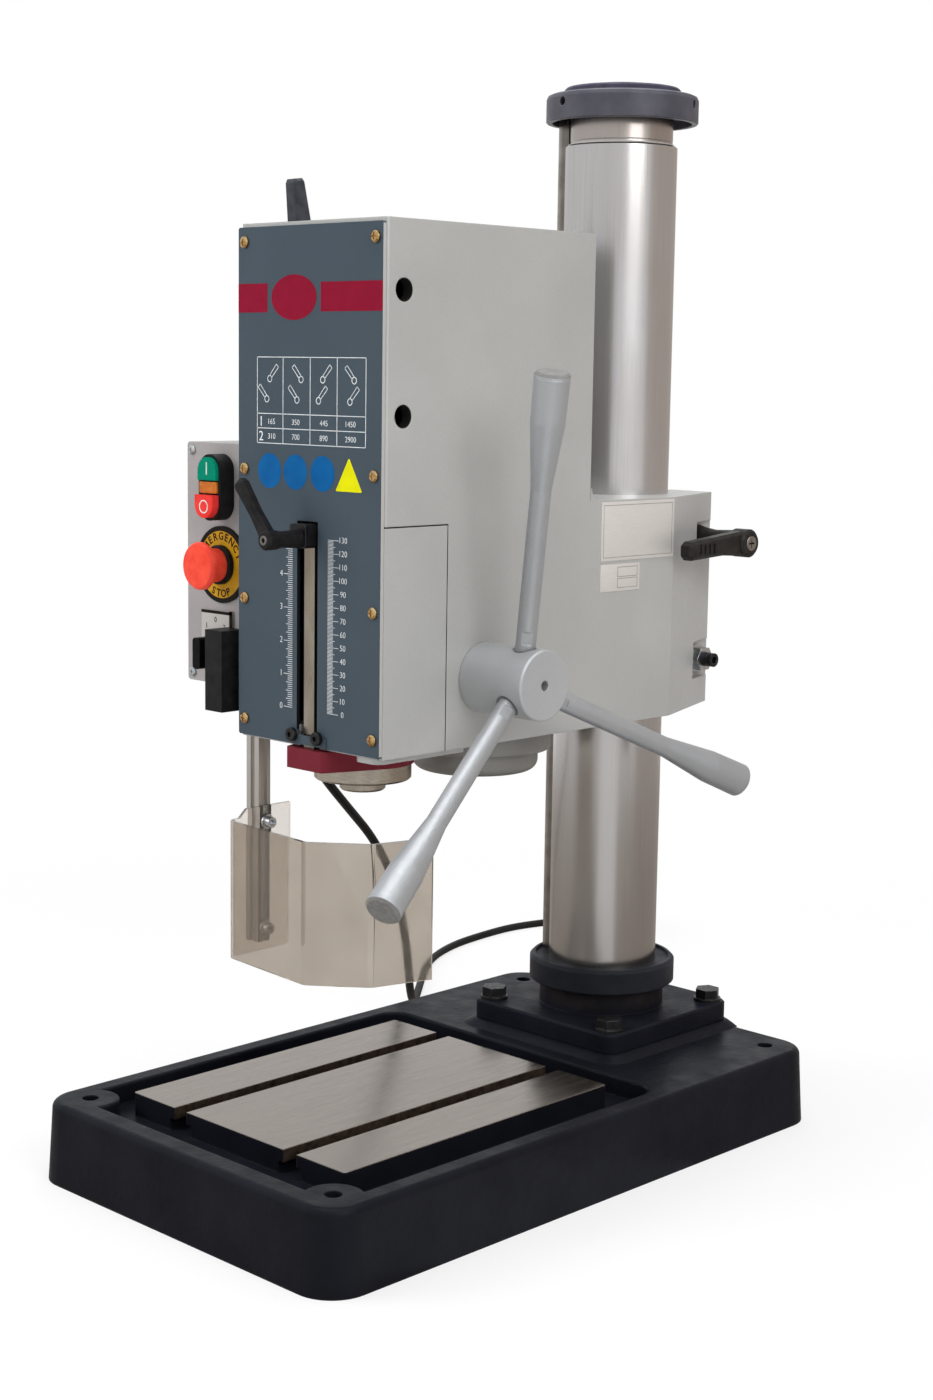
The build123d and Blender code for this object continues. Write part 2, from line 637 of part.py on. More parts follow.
head -= box(-SPLIT_W / 2, SPLIT_W / 2, COL_Y + COL_R - 8, CLAMP_Y2 + 1, HEAD_Z0 - 1, CLAMP_Z1 + 1)
for z in (STUD_HI_Z, STUD_LO_Z):
    head -= cyl_x(STUD_R + CLEAR, -HX, HX, STUD_Y, z)
    for sx in (-1, 1):
        x0, x1 = sorted((sx * POCKET_X, sx * (HX + 1)))
        head -= box(x0, x1, POCKET_Y, CLAMP_Y2 + 1, z - POCKET_H / 2, z + POCKET_H / 2)
for z in (SHIFT_HI_Z, SHIFT_LO_Z):
    head -= cyl_x(SHIFT_R + RUN, -HX - 1, -HX + HEAD_WALL + 1, SHIFT_Y, z)
    head -= cyl_x(RAIL_HOLE_R, HX - HEAD_WALL - 1, HX + 1, RAIL_Y, z)
head -= box(HX - COVER_T, HX + 1, HEAD_Y0 - 1, COVER_Y1, HEAD_Z0 - 1, COVER_Z1)
head -= box(-SLOT_HALF, SLOT_HALF, HEAD_Y0 - 1, HEAD_Y0 + 6.5, HEAD_Z0 - 1, HEAD_Z0 + HEAD_FLOOR + 1)
for z in PANEL_SCREW_Z:
    for sx in (-1, 1):
        head -= cyl_y(PANEL_SCREW_SHANK, HEAD_Y0 - 1, HEAD_Y0 + 10, sx * PANEL_SCREW_X, z)
for sx in (-1, 1):
    head -= cyl_y(GUIDE_SCREW_R, HEAD_Y0 - 1, HEAD_Y0 + 9, sx * GUIDE_SCREW_X, GUIDE_SCREW_Z)
save("head_housing", head)

# Front panel, open at the bottom for the depth bar
panel = rounded_front(PANEL_W, PANEL_Z1 - PANEL_Z0, 2.0, PANEL_Y, HEAD_Y0, 0, (PANEL_Z0 + PANEL_Z1) / 2)
panel -= box(-SLOT_HALF, SLOT_HALF, PANEL_Y - 1, HEAD_Y0 + 1, PANEL_Z0 - 1, SLOT_TOP)
screws = []
for z in PANEL_SCREW_Z:
    for sx in (-1, 1):
        x = sx * PANEL_SCREW_X
        panel -= cyl_y(PANEL_SCREW_SHANK, PANEL_Y - 1, HEAD_Y0 + 1, x, z)
        s = turned_along([(0, 0), (PANEL_SCREW_SHANK, 0), (PANEL_SCREW_SHANK, 11),
                          (PANEL_SCREW_R, 11), (PANEL_SCREW_R, 12.4),
                          (0.7 * PANEL_SCREW_R, 13.4), (0, 13.8)], (x, HEAD_Y0 + 8, z), (0, -1, 0))
        screws.append(s - cross_recess(0.6 * PANEL_SCREW_R, 1.1, PANEL_Y - 5, PANEL_Y - 1.2, x, z))
for sx in (-1, 1):
    panel -= cyl_y(GUIDE_SCREW_R, PANEL_Y - 1, HEAD_Y0 + 1, sx * GUIDE_SCREW_X, GUIDE_SCREW_Z)
save("front_panel", panel)
save("panel_screws", group(*screws))

# Side cover with the belly plate under it
cover = box(HX - COVER_T, HX, HEAD_Y0, COVER_Y1 - SEAM, HEAD_Z0, COVER_Z1 - SEAM)
belly_y0 = HEAD_Y0 + BELLY_FRONT
belly = rounded(BELLY_X1 - BELLY_X0, BELLY_Y1 - belly_y0, BELLY_EDGE_R, HEAD_Z0 - BELLY_T, HEAD_Z0,
                (BELLY_X1 + BELLY_X0) / 2, (BELLY_Y1 + belly_y0) / 2)
save("side_cover", group(cover, belly))

# Clamp studs with nuts and washers
stud_hi = cyl_x(STUD_R, -POCKET_X - 16, POCKET_X + 14, STUD_Y, STUD_HI_Z)
stud_lo = cyl_x(STUD_R, -POCKET_X - 16, POCKET_X + STUD_LO_OUT, STUD_Y, STUD_LO_Z)
save("clamp_studs", group(stud_hi, stud_lo))
nuts = []
for (sx, z) in ((-1, STUD_HI_Z), (-1, STUD_LO_Z), (1, STUD_LO_Z)):
    a, b = sorted((sx * POCKET_X, sx * (POCKET_X + WASHER_T)))
    c, d = sorted((sx * (POCKET_X + WASHER_T), sx * (POCKET_X + WASHER_T + 10)))
    bore = cyl_x(STUD_R, -HX - 30, HX + 30, STUD_Y, z)
    nuts.append(cyl_x(WASHER_R, a, b, STUD_Y, z) - bore)
    nuts.append(hex_x(BOLT_AF, c, d, STUD_Y, z) - bore)
save("clamp_nuts", group(*nuts))

# Column clamp lever on the upper stud, with its end screw
lever_x1 = HX + LEVER_OUT
lever_l = lever_x1 - POCKET_X
lever_neck = lever_l - LEVER_T - 3
lever = turned_along([(0, 0), (13, 0), (11, 8), (9.5, 20), (10.5, lever_neck - 2), (LEVER_HUB_R, lever_neck),
                      (LEVER_HUB_R, lever_l - 2), (LEVER_HUB_R - 2, lever_l), (0, lever_l)],
                     (POCKET_X, STUD_Y, STUD_HI_Z), (1, 0, 0))
lever_mid = 0.41 * LEVER_REACH
lever_side = [(0, 11), (-lever_mid, 8), (-LEVER_REACH + 4, 4), (-LEVER_REACH, 1), (-LEVER_REACH, -8),
              (-LEVER_REACH + 4, -11.5), (-lever_mid, -9), (0, -11)]
blade = yz_prism([(STUD_Y + y, STUD_HI_Z + z) for y, z in lever_side], lever_x1 - LEVER_T - 3, lever_x1 - 3)
lever += chamfer(blade.faces().filter_by(Axis.X).edges(), 2.5)
for k in range(4):
    groove_y = STUD_Y - LEVER_REACH + 12 + 6 * k
    lever -= box(lever_x1 - 4.2, lever_x1, groove_y, groove_y + 2.5, STUD_HI_Z - 6.5, STUD_HI_Z + 1.5)
lever -= cyl_x(STUD_R + RUN, POCKET_X - 1, POCKET_X + 14.5, STUD_Y, STUD_HI_Z)
lever -= cyl_x(6.2, lever_x1 - 2, lever_x1 + 1, STUD_Y, STUD_HI_Z)
lever_screw = cyl_x(6.2, lever_x1 - 2, lever_x1 + 0.8, STUD_Y, STUD_HI_Z)
lever_screw -= box(lever_x1 - 0.8, lever_x1 + 1, STUD_Y - 4, STUD_Y + 4, STUD_HI_Z - 0.7, STUD_HI_Z + 0.7)
lever_screw -= box(lever_x1 - 0.8, lever_x1 + 1, STUD_Y - 0.7, STUD_Y + 0.7, STUD_HI_Z - 4, STUD_HI_Z + 4)
save("clamp_lever", group(lever, lever_screw))

# Motor in the rear of the head
motor = cyl_z(MOTOR_R, HEAD_Z0 + 4, MOTOR_Z1, 0, MOTOR_Y)
motor -= cyl_z(MOTOR_BORE_R + CLEAR, HEAD_Z0 + 12, MOTOR_Z1 - 8, 0, MOTOR_Y)
motor -= cyl_z(MOTOR_SHAFT_R + RUN, HEAD_Z0, MOTOR_Z1 + 1, 0, MOTOR_Y)
for k in range(4):
    a = math.radians(45 + 90 * k)
    motor -= cyl_z(5.5, HEAD_Z0, HEAD_Z0 + 13, 18 * math.cos(a), MOTOR_Y + 18 * math.sin(a))
    motor -= cyl_z(5.5, MOTOR_Z1 - 9, MOTOR_Z1 + 1, 18 * math.cos(a), MOTOR_Y + 18 * math.sin(a))
motor_rim = cyl_z(MOTOR_R, MOTOR_Z1 - 0.01, PLATE_Z, 0, MOTOR_Y)
motor += motor_rim - cyl_z(MOTOR_R - 6, MOTOR_Z1 - 1, PLATE_Z + 1, 0, MOTOR_Y)
save("motor_body", motor)

# Fan cowl under the motor: a shallow bowl below a wider flange, slotted underneath
bowl = cyl_z(COWL_R, COWL_Z0, COWL_STEP_Z, 0, MOTOR_Y)
bowl = fillet(bowl.faces().sort_by(Axis.Z)[0].edges(), COWL_ROUND)
cowl_flange = cyl_z(COWL_FLANGE_R, COWL_STEP_Z, HEAD_Z0, 0, MOTOR_Y)
cowl_flange = fillet(cowl_flange.faces().sort_by(Axis.Z)[0].edges(), COWL_T)
bowl_inside = cyl_z(COWL_R - COWL_T, COWL_Z0 + COWL_T, HEAD_Z0 + 1, 0, MOTOR_Y)
bowl_inside = fillet(bowl_inside.faces().sort_by(Axis.Z)[0].edges(), COWL_ROUND - COWL_T)
cowl = bowl + cowl_flange - bowl_inside
for k in range(12):
    cowl -= Pos(0, MOTOR_Y, COWL_Z0) * Rot(0, 0, 30 * k) * box(14, 40, -3, 3, -5, COWL_T + 2)
save("fan_cowl", cowl)

# Motor rotor with its pinion and fan
rotor = cyl_z(MOTOR_SHAFT_R, COWL_Z0 + 8, GEAR_LOW_Z + GEAR_T + 6, 0, MOTOR_Y)
rotor += cyl_z(MOTOR_BORE_R, HEAD_Z0 + 26, MOTOR_Z1 - 26, 0, MOTOR_Y)
rotor += gear_z(GEAR_MOD, GEAR_SMALL_TEETH, GEAR_LOW_Z, GEAR_LOW_Z + GEAR_T, 0, MOTOR_Y, -math.pi / 2)
fan_z = COWL_Z0 + 10
fan = cyl_z(13, fan_z, fan_z + 16, 0, MOTOR_Y)
for k in range(8):
    fan += Pos(0, MOTOR_Y, fan_z) * Rot(0, 0, 45 * k) * box(8, FAN_R, -1.5, 1.5, 0, 14)
fan -= cyl_z(MOTOR_SHAFT_R, fan_z - 1, fan_z + 17, 0, MOTOR_Y)
save("motor_rotor", group(rotor, fan))

# Layshaft between the motor and the spindle
lay = cyl_z(LAY_R, PLATE_Z, HEAD_Z1 - 8, 0, LAY_Y)
lay += gear_z(GEAR_MOD, GEAR_LARGE_TEETH, GEAR_LOW_Z, GEAR_LOW_Z + GEAR_T, 0, LAY_Y,
              math.pi / 2 + math.pi / GEAR_LARGE_TEETH)
lay += gear_z(GEAR_MOD, GEAR_SMALL_TEETH, GEAR_HIGH_Z, GEAR_HIGH_Z + GEAR_T + 4, 0, LAY_Y, -math.pi / 2)
save("layshaft", lay)

# Drive sleeve with the spindle gear
sleeve = cyl_z(SLEEVE_R, PLATE_Z, HEAD_Z1 - 8, 0, SPINDLE_Y)
sleeve += gear_z(GEAR_MOD, GEAR_LARGE_TEETH, GEAR_HIGH_Z + 2, GEAR_HIGH_Z + 2 + GEAR_T, 0, SPINDLE_Y,
                 math.pi / 2 + math.pi / GEAR_LARGE_TEETH)
drive_hole = cyl_z(DRIVE_R + RUN, PLATE_Z - 1, HEAD_Z1, 0, SPINDLE_Y)
drive_half = DRIVE_FLAT / 2 + RUN
drive_hole &= box(-DRIVE_R - 1, DRIVE_R + 1, SPINDLE_Y - drive_half, SPINDLE_Y + drive_half,
                  PLATE_Z - 2, HEAD_Z1 + 1)
sleeve -= drive_hole
save("drive_sleeve", sleeve)

# Quill with its rack cut in the rear
quill = cyl_z(QUILL_R, QUILL_Z0, QUILL_Z1, 0, SPINDLE_Y)
quill += cyl_z(QUILL_RING_R, QUILL_Z0, QUILL_Z0 + QUILL_RING_H, 0, SPINDLE_Y)
quill = chamfer(quill.faces().sort_by(Axis.Z)[0].edges(), 1.5)
quill -= cyl_z(QUILL_BORE_R, QUILL_Z0 + 8, QUILL_Z1 + 1, 0, SPINDLE_Y)
quill -= cyl_z(NOSE_R + CLEAR, QUILL_Z0 - 1, QUILL_Z0 + 9, 0, SPINDLE_Y)
feed_pitch = math.pi * FEED_MOD
feed_tip_y = FEED_Y - FEED_R + 0.95 * FEED_MOD
feed_count_up = int(125.0 / feed_pitch) + 2
feed_count_dn = 5
feed_first = FEED_Z - feed_count_dn * feed_pitch
fteeth, froot = rack_outline(FEED_MOD, feed_count_dn + feed_count_up + 1, feed_first, 0.0, 0.12)
cut_far = 12.0
gap = [(cut_far, feed_first - 4.5), (froot, feed_first - 4.5)] + fteeth
gap += [(froot, feed_first + (feed_count_dn + feed_count_up) * feed_pitch + 4.5),
        (cut_far, feed_first + (feed_count_dn + feed_count_up) * feed_pitch + 4.5)]
gap_face = make_face(Polyline(*[(0, y, z) for y, z in gap], close=True))
gap_cut = Pos(-FEED_FACE - 0.6, feed_tip_y, 0) * extrude(gap_face, 2 * FEED_FACE + 1.2, dir=(1, 0, 0))
quill -= gap_cut
save("quill", quill)

# Spindle bearings at the two ends of the quill
rings = []
for z in (QUILL_Z0 + 14, QUILL_Z1 - BEARING_H - 4):
    rings.append(cyl_z(QUILL_BORE_R, z, z + BEARING_H, 0, SPINDLE_Y)
                 - cyl_z(SPINDLE_R + RUN, z - 1, z + BEARING_H + 1, 0, SPINDLE_Y))
save("quill_bearings", group(*rings))

# Spindle with a taper socket and a flatted driving end
spindle = turned([(0, NOSE_Z0), (NOSE_R - 1.5, NOSE_Z0), (NOSE_R, NOSE_Z0 + 1.5), (NOSE_R, QUILL_Z0 + 13.7),
                  (SPINDLE_R, QUILL_Z0 + 13.7), (SPINDLE_R, QUILL_Z1 + 4), (DRIVE_R, QUILL_Z1 + 4),
                  (DRIVE_R, SPINDLE_Z1 - 1.5), (DRIVE_R - 1.5, SPINDLE_Z1), (0, SPINDLE_Z1)], 0, SPINDLE_Y)
for sy in (-1, 1):
    y0, y1 = sorted((SPINDLE_Y + sy * DRIVE_FLAT / 2, SPINDLE_Y + sy * (DRIVE_R + 2)))
    spindle -= box(-DRIVE_R - 1, DRIVE_R + 1, y0, y1, QUILL_Z1 + 8, SPINDLE_Z1 + 1)
taper_z = NOSE_Z0 + TAPER_L
spindle -= turned([(0, NOSE_Z0 - 1), (TAPER_R0, NOSE_Z0 - 1), (TAPER_R0, NOSE_Z0), (TAPER_R1, taper_z),
                   (0, taper_z)], 0, SPINDLE_Y)
spindle -= box(-NOSE_R - 1, NOSE_R + 1, SPINDLE_Y - 4, SPINDLE_Y + 4, taper_z - 12, taper_z + 8)
save("spindle", spindle)

# Quill bracket that carries the depth bar: a ring with straight sides to a flat nose
nose_far = math.hypot(BRACKET_HALF, SPINDLE_Y - BRACKET_Y)
nose_turn = math.acos(BRACKET_R / nose_far) - math.atan2(SPINDLE_Y - BRACKET_Y, BRACKET_HALF)
side_x = BRACKET_R * math.cos(nose_turn)
side_y = SPINDLE_Y + BRACKET_R * math.sin(nose_turn)
bracket = prism([(-BRACKET_HALF, BRACKET_Y), (BRACKET_HALF, BRACKET_Y), (side_x, side_y), (-side_x, side_y)],
                BRACKET_Z0, BRACKET_Z0 + BRACKET_H)
bracket = fillet(bracket.edges().filter_by(Axis.Z).sort_by(Axis.Y)[:2], BRACKET_EDGE_R)
bracket += cyl_z(BRACKET_R, BRACKET_Z0, BRACKET_Z0 + BRACKET_H, 0, SPINDLE_Y)
bracket -= cyl_z(QUILL_R, BRACKET_Z0 - 1, BRACKET_Z0 + BRACKET_H + 1, 0, SPINDLE_Y)
bracket -= box(-BAR_HALF, BAR_HALF, BAR_Y0, BAR_Y0 + BAR_T, BRACKET_Z0 + 3, BRACKET_Z0 + BRACKET_H + 1)
save("quill_bracket", bracket)

# Depth bar
bar = box(-BAR_HALF, BAR_HALF, BAR_Y0, BAR_Y0 + BAR_T, BRACKET_Z0 + 3, BAR_Z1)
save("depth_bar", bar)

# Bar guide across the foot of the slot, held by two cap screws
guide = box(-GUIDE_HALF, GUIDE_HALF, PANEL_Y - GUIDE_T, PANEL_Y, GUIDE_Z0, GUIDE_Z0 + GUIDE_H)
gscrews = []
screw_seat = HEAD_Y0 + 8 - PANEL_Y + GUIDE_T
screw_end = screw_seat + GUIDE_HEAD_L
for sx in (-1, 1):
    x = sx * GUIDE_SCREW_X
    guide += cyl_y(GUIDE_HEAD_R, PANEL_Y - GUIDE_T, PANEL_Y, x, GUIDE_SCREW_Z)
    guide -= cyl_y(GUIDE_SCREW_R, PANEL_Y - GUIDE_T - 1, PANEL_Y + 1, x, GUIDE_SCREW_Z)
    cap_screw = turned_along([(0, 0), (GUIDE_SCREW_R, 0), (GUIDE_SCREW_R, screw_seat),
                              (GUIDE_HEAD_R, screw_seat), (GUIDE_HEAD_R, screw_end - 0.8),
                              (GUIDE_HEAD_R - 0.8, screw_end), (0, screw_end)],
                             (x, HEAD_Y0 + 8, GUIDE_SCREW_Z), (0, -1, 0))
    plane = Plane(origin=(x, HEAD_Y0 + 8 - screw_end, GUIDE_SCREW_Z), x_dir=(1, 0, 0), z_dir=(0, 1, 0))
    gscrews.append(cap_screw - extrude(plane * RegularPolygon(2.4, 6), 0.6 * GUIDE_HEAD_L))
save("bar_guide", guide)
save("guide_screws", group(*gscrews))

# Depth stop block that slides on the bar, and its clamping lever
stop = rounded_front(2 * STOP_HALF, STOP_H, 2.5, STOP_Y, HEAD_Y0 + STOP_BACK, 0, STOP_Z0 + STOP_H / 2)
bar_way = BAR_HALF + RUN
stop -= box(-bar_way, bar_way, BAR_Y0 - RUN, BAR_Y0 + BAR_T + RUN, STOP_Z0 - 1, STOP_Z0 + STOP_H + 1)
stop_z = STOP_Z0 + STOP_H / 2 - STOP_AXIS_DROP
stop -= cyl_y(STOP_STUD_R + RUN, STOP_Y - 1, STOP_Y + STOP_STUD_L + CLEAR, 0, stop_z)
save("depth_stop_block", stop)
hub_len = STOP_Y - STOP_LEVER_Y
slever = turned_along([(0, 0), (7.2, 0), (6.6, 6), (6.2, 0.5 * hub_len), (7.4, hub_len - STOP_ARM_T),
                       (7.4, hub_len - 1.5), (6, hub_len), (0, hub_len)], (0, STOP_Y, stop_z), (0, -1, 0))
slever += cyl_y(STOP_STUD_R, STOP_Y - 1, STOP_Y + STOP_STUD_L, 0, stop_z)
arm_waist = 0.45 * STOP_ARM
arm_side = [(6, 0), (4.4, arm_waist), (5.6, STOP_ARM - 4), (3.6, STOP_ARM), (-3.6, STOP_ARM),
            (-5.6, STOP_ARM - 4), (-4.4, arm_waist), (-6, 0)]
arm_face = make_face(Polyline(*[(x, 0, z) for x, z in arm_side], close=True))
stop_arm = extrude(arm_face, STOP_ARM_T, dir=(0, 1, 0))
stop_arm = chamfer(stop_arm.faces().filter_by(Axis.Y).edges(), 2.2)
slever += Pos(0, STOP_LEVER_Y + 1, stop_z) * Rot(0, -STOP_ARM_TURN, 0) * stop_arm
slever -= cyl_y(STOP_SCREW_R, STOP_LEVER_Y - 1, STOP_LEVER_Y + 1.5, 0, stop_z)
stop_screw = cyl_y(STOP_SCREW_R, STOP_LEVER_Y - 0.6, STOP_LEVER_Y + 1.5, 0, stop_z)
plane = Plane(origin=(0, STOP_LEVER_Y - 0.6, stop_z), x_dir=(1, 0, 0), z_dir=(0, 1, 0))
stop_screw -= extrude(plane * RegularPolygon(2.0, 6), 1.4)
save("depth_stop_lever", group(slever, stop_screw))

# Feed pinion shaft
shaft = cyl_x(FEED_SHAFT_R, -HX - CUP_L + 10, HX + HUB_L - 8, FEED_Y, FEED_Z)
pin_plane = Plane(origin=(-FEED_FACE, FEED_Y, FEED_Z), x_dir=(0, 1, 0), z_dir=(1, 0, 0))
pin_turn = math.pi + math.pi / FEED_TEETH
pin_face = pin_plane * make_face(Polyline(*gear_outline(FEED_MOD, FEED_TEETH, 0.12, pin_turn), close=True))
shaft += extrude(pin_face, 2 * FEED_FACE)
save("feed_shaft", shaft)

# Feed hub and its three arms, which sit in counterbores and have spanner flats
hub_l = HUB_L - CLEAR
hub = turned_along([(FEED_SHAFT_R, 0), (HUB_R, 0), (HUB_R, hub_l - 1.2), (HUB_R - 1.2, hub_l), (4, hub_l),
                    (4, hub_l - 7.7), (FEED_SHAFT_R, hub_l - 7.7)], (HX + CLEAR, FEED_Y, FEED_Z), (1, 0, 0))
arms = []
for k in range(3):
    a = math.radians(ARM_PHASE + 120 * k)
    u = Vector(0, math.cos(a), math.sin(a))
    p0 = Vector(ARM_X0, FEED_Y, FEED_Z) + u * (HUB_R - ARM_SEAT)
    p1 = Vector(ARM_X1, FEED_Y, FEED_Z) + u * ARM_TIP
    length = (p1 - p0).length
    run = p1 - p0
    s_flare = ARM_FLARE - HUB_R + ARM_SEAT
    grip_end = length - 4
    arm = turned_along([(0, 0), (ARM_R, 0), (ARM_R, s_flare), (ARM_GRIP_R - 0.5, s_flare + 50),
                        (ARM_GRIP_R, grip_end), (0, grip_end)], p0, run)
    flat_at = p0 + run.normalized() * (ARM_SEAT + ARM_FLAT)
    flat_plane = Plane(origin=flat_at, x_dir=(1, -1, 0), z_dir=run)
    for side in (-1, 1):
        arm -= flat_plane * Pos(side * (2 * ARM_R - 1.1), 0, 0) * Box(2 * ARM_R, 3 * ARM_R, ARM_FLAT)
    end_cap = turned_along([(0, grip_end), (ARM_GRIP_R, grip_end), (ARM_GRIP_R, length - 2),
                            (ARM_GRIP_R - 2, length), (0, length)], p0, run)
    hub -= turned_along([(0, 0), (ARM_R, 0), (ARM_R, 60), (0, 60)], p0, run)
    bore_r = ARM_R + 1.5
    bore_s = ARM_SEAT - 3
    hub -= turned_along([(0, bore_s), (bore_r, bore_s), (bore_r, 60), (0, 60)], p0, run)
    arms.append(group(arm, end_cap))
save("feed_hub", hub)
for k in range(3):
    save("feed_arm_" + str(k + 1), arms[k])

# Cup for the quill return spring on the left
cup = turned_along([(5, CUP_L - 3), (CUP_R - 3, CUP_L - 3), (CUP_R - 3, 0), (CUP_R, 0), (CUP_R, CUP_L - 1.5),
                    (CUP_R - 1.5, CUP_L), (5, CUP_L)], (-HX, FEED_Y, FEED_Z), (-1, 0, 0))
save("spring_cup", cup)

# Shift levers: short shaft, hub and a tapered grip that leans a little to the front
shift_x1 = -HX - SHIFT_GAP
shift_x0 = shift_x1 - SHIFT_T
for (name, z, reach) in (("upper", SHIFT_HI_Z, SHIFT_HI_LEN), ("lower", SHIFT_LO_Z, SHIFT_LO_LEN)):
    lev = cyl_x(SHIFT_R, shift_x1 - 4, -HX + HEAD_WALL + 6, SHIFT_Y, z)
    lev += cyl_x(SHIFT_HUB_R, shift_x0, shift_x1, SHIFT_Y, z)
    grip_side = [(-SHIFT_HUB_R + 0.5, 0), (-SHIFT_TIP, reach - 3), (-SHIFT_TIP + 2, reach),
                 (SHIFT_TIP - 2, reach), (SHIFT_TIP, reach - 3), (SHIFT_HUB_R - 0.5, 0)]
    grip = yz_prism(grip_side, shift_x0, shift_x1)
    grip = chamfer(grip.faces().filter_by(Axis.X).edges(), SHIFT_EDGE)
    lev += Pos(0, SHIFT_Y, z) * Rot(SHIFT_LEAN, 0, 0) * grip
    save("shift_lever_" + name, lev)

# Control box with a sloped lower rear edge, its lid and screws
cbx0 = BOX_X0
cbx1 = -HX


def box_side(inset):
    return [(LID_Y, BOX_Z0 + inset), (BOX_Y1 - BOX_SLOPE - 0.4 * inset, BOX_Z0 + inset),
            (BOX_Y1 - inset, BOX_Z0 + BOX_SLOPE + 0.4 * inset), (BOX_Y1 - inset, BOX_Z1 - inset),
            (LID_Y, BOX_Z1 - inset)]


shell = yz_prism(box_side(0), cbx0, cbx1)
inner = yz_prism(box_side(BOX_WALL), cbx0 + BOX_WALL, cbx1 - BOX_WALL)
shell -= inner
lid = rounded_front(cbx1 - cbx0, BOX_Z1 - BOX_Z0, 3.0, BOX_Y0, LID_Y,
                    (cbx0 + cbx1) / 2, (BOX_Z0 + BOX_Z1) / 2)
csc = []
for x in (cbx0 + BOX_SCREW_IN, cbx1 - BOX_SCREW_IN):
    for z in (BOX_Z0 + BOX_SCREW_IN, BOX_Z1 - BOX_SCREW_IN):
        shell += cyl_y(5.5, LID_Y, LID_Y + 22, x, z)
        shell -= cyl_y(BOX_SCREW_R, LID_Y - 1, LID_Y + 12, x, z)
        lid -= cyl_y(BOX_SCREW_R, BOX_Y0 - 1, LID_Y + 1, x, z)
        seat = 10 + BOX_LID
        cover_screw = turned_along([(0, 0), (BOX_SCREW_R, 0), (BOX_SCREW_R, seat), (3.6, seat),
                                    (3.6, seat + 1.2), (2.4, seat + 2.2), (0, seat + 2.2)],
                                   (x, LID_Y + 10, z), (0, -1, 0))
        csc.append(cover_screw - cross_recess(2.0, 0.9, BOX_Y0 - 4, BOX_Y0 - 1, x, z))
save("control_box", shell)
save("control_cover", lid)
save("cover_screws", group(*csc))

# Double push-button in a round-ended surround, with its lamp lens between the buttons
duo_y0 = BOX_Y0 - DUO_T
pocket_floor = BOX_Y0 - 1.5


def half_button(grow, y0, y1, up):
    whole = stadium(BTN_W + 2 * grow, BTN_LEN + 2 * grow, y0, y1, DUO_X, DUO_Z)
    z0, z1 = sorted((DUO_Z + up * (BTN_IN - grow), DUO_Z + up * DUO_H))
    return whole & box(DUO_X - DUO_W, DUO_X + DUO_W, y0 - 1, y1 + 1, z0, z1)


duo = stadium(DUO_W, DUO_H, duo_y0, BOX_Y0, DUO_X, DUO_Z)
for up in (-1, 1):
    duo -= half_button(CLEAR, duo_y0 - 1, pocket_floor, up)
duo -= rounded_front(BTN_W - 1, LENS_H, 1.0, duo_y0 - 1, BOX_Y0 - 8, DUO_X, DUO_Z)
save("button_surround", duo)
save("start_button", half_button(0, duo_y0 - START_PROUD, pocket_floor - 4, 1))
save("stop_button", half_button(0, duo_y0 - STOP_PROUD, pocket_floor - 4, -1))
save("pilot_lens", rounded_front(BTN_W - 1, LENS_H, 1.0, duo_y0 - 1.5, BOX_Y0 - 8, DUO_X, DUO_Z))

# Emergency stop: disc, collar and mushroom
disc_y = BOX_Y0 - ESTOP_DISC_T
disc = cyl_y(ESTOP_DISC_R, disc_y, BOX_Y0, ESTOP_X, ESTOP_Z)
ecollar = turned_along([(ESTOP_NECK_R + CLEAR, 0), (ESTOP_COLLAR_R, 0),
                        (ESTOP_COLLAR_R, ESTOP_COLLAR_L - 1.5), (ESTOP_COLLAR_R - 1.5, ESTOP_COLLAR_L),
                        (ESTOP_NECK_R + CLEAR, ESTOP_COLLAR_L)],
                       (ESTOP_X, disc_y, ESTOP_Z), (0, -1, 0))
head_s = ESTOP_COLLAR_L + ESTOP_GAP
mush = turned_along([(0, ESTOP_NECK_START), (ESTOP_NECK_R, ESTOP_NECK_START), (ESTOP_NECK_R, head_s),
                     (ESTOP_HEAD_R - 1.5, head_s), (ESTOP_HEAD_R, head_s + 1.5),
                     (ESTOP_HEAD_R, head_s + 0.6 * ESTOP_HEAD_L),
                     (0.92 * ESTOP_HEAD_R, head_s + 0.9 * ESTOP_HEAD_L),
                     (0.5 * ESTOP_HEAD_R, head_s + ESTOP_HEAD_L), (0, head_s + 1.04 * ESTOP_HEAD_L)],
                    (ESTOP_X, disc_y, ESTOP_Z), (0, -1, 0))
save("estop_disc", disc)
save("estop_collar", ecollar)
save("estop_button", mush)

# Rotary switch
splate = rounded_front(SWITCH_W, SWITCH_H, 2.0, BOX_Y0 - SWITCH_T, BOX_Y0, SWITCH_X, SWITCH_Z)
knob_y1 = BOX_Y0 - SWITCH_T
knob = cyl_y(KNOB_R, knob_y1 - 8, knob_y1, KNOB_X, KNOB_Z)
knob += rounded_front(9.0, 2 * KNOB_R - 1, 3.0, knob_y1 - 20, knob_y1 - 7, KNOB_X, KNOB_Z)
save("switch_plate", splate)
save("switch_handle", knob)

# Guard pivot block with its foot
gb_x0 = -HX - GUARD_FOOT_W
gb_x1 = gb_x0 + GUARD_BLOCK_W
gblock = box(gb_x0, gb_x1, GUARD_BLOCK_Y0, GUARD_BLOCK_Y1, GUARD_FOOT_Z0, GUARD_BLOCK_Z1)
gblock += box(gb_x0, -HX, GUARD_BLOCK_Y1 - 1, GUARD_FOOT_Y1, GUARD_FOOT_Z0, BOX_Z0)
gblock -= cyl_z(GUARD_PIN_R + RUN, GUARD_FOOT_Z0 - 1, BOX_Z0 - 2.5, GUARD_X, GUARD_Y)
save("guard_pivot_block", gblock)

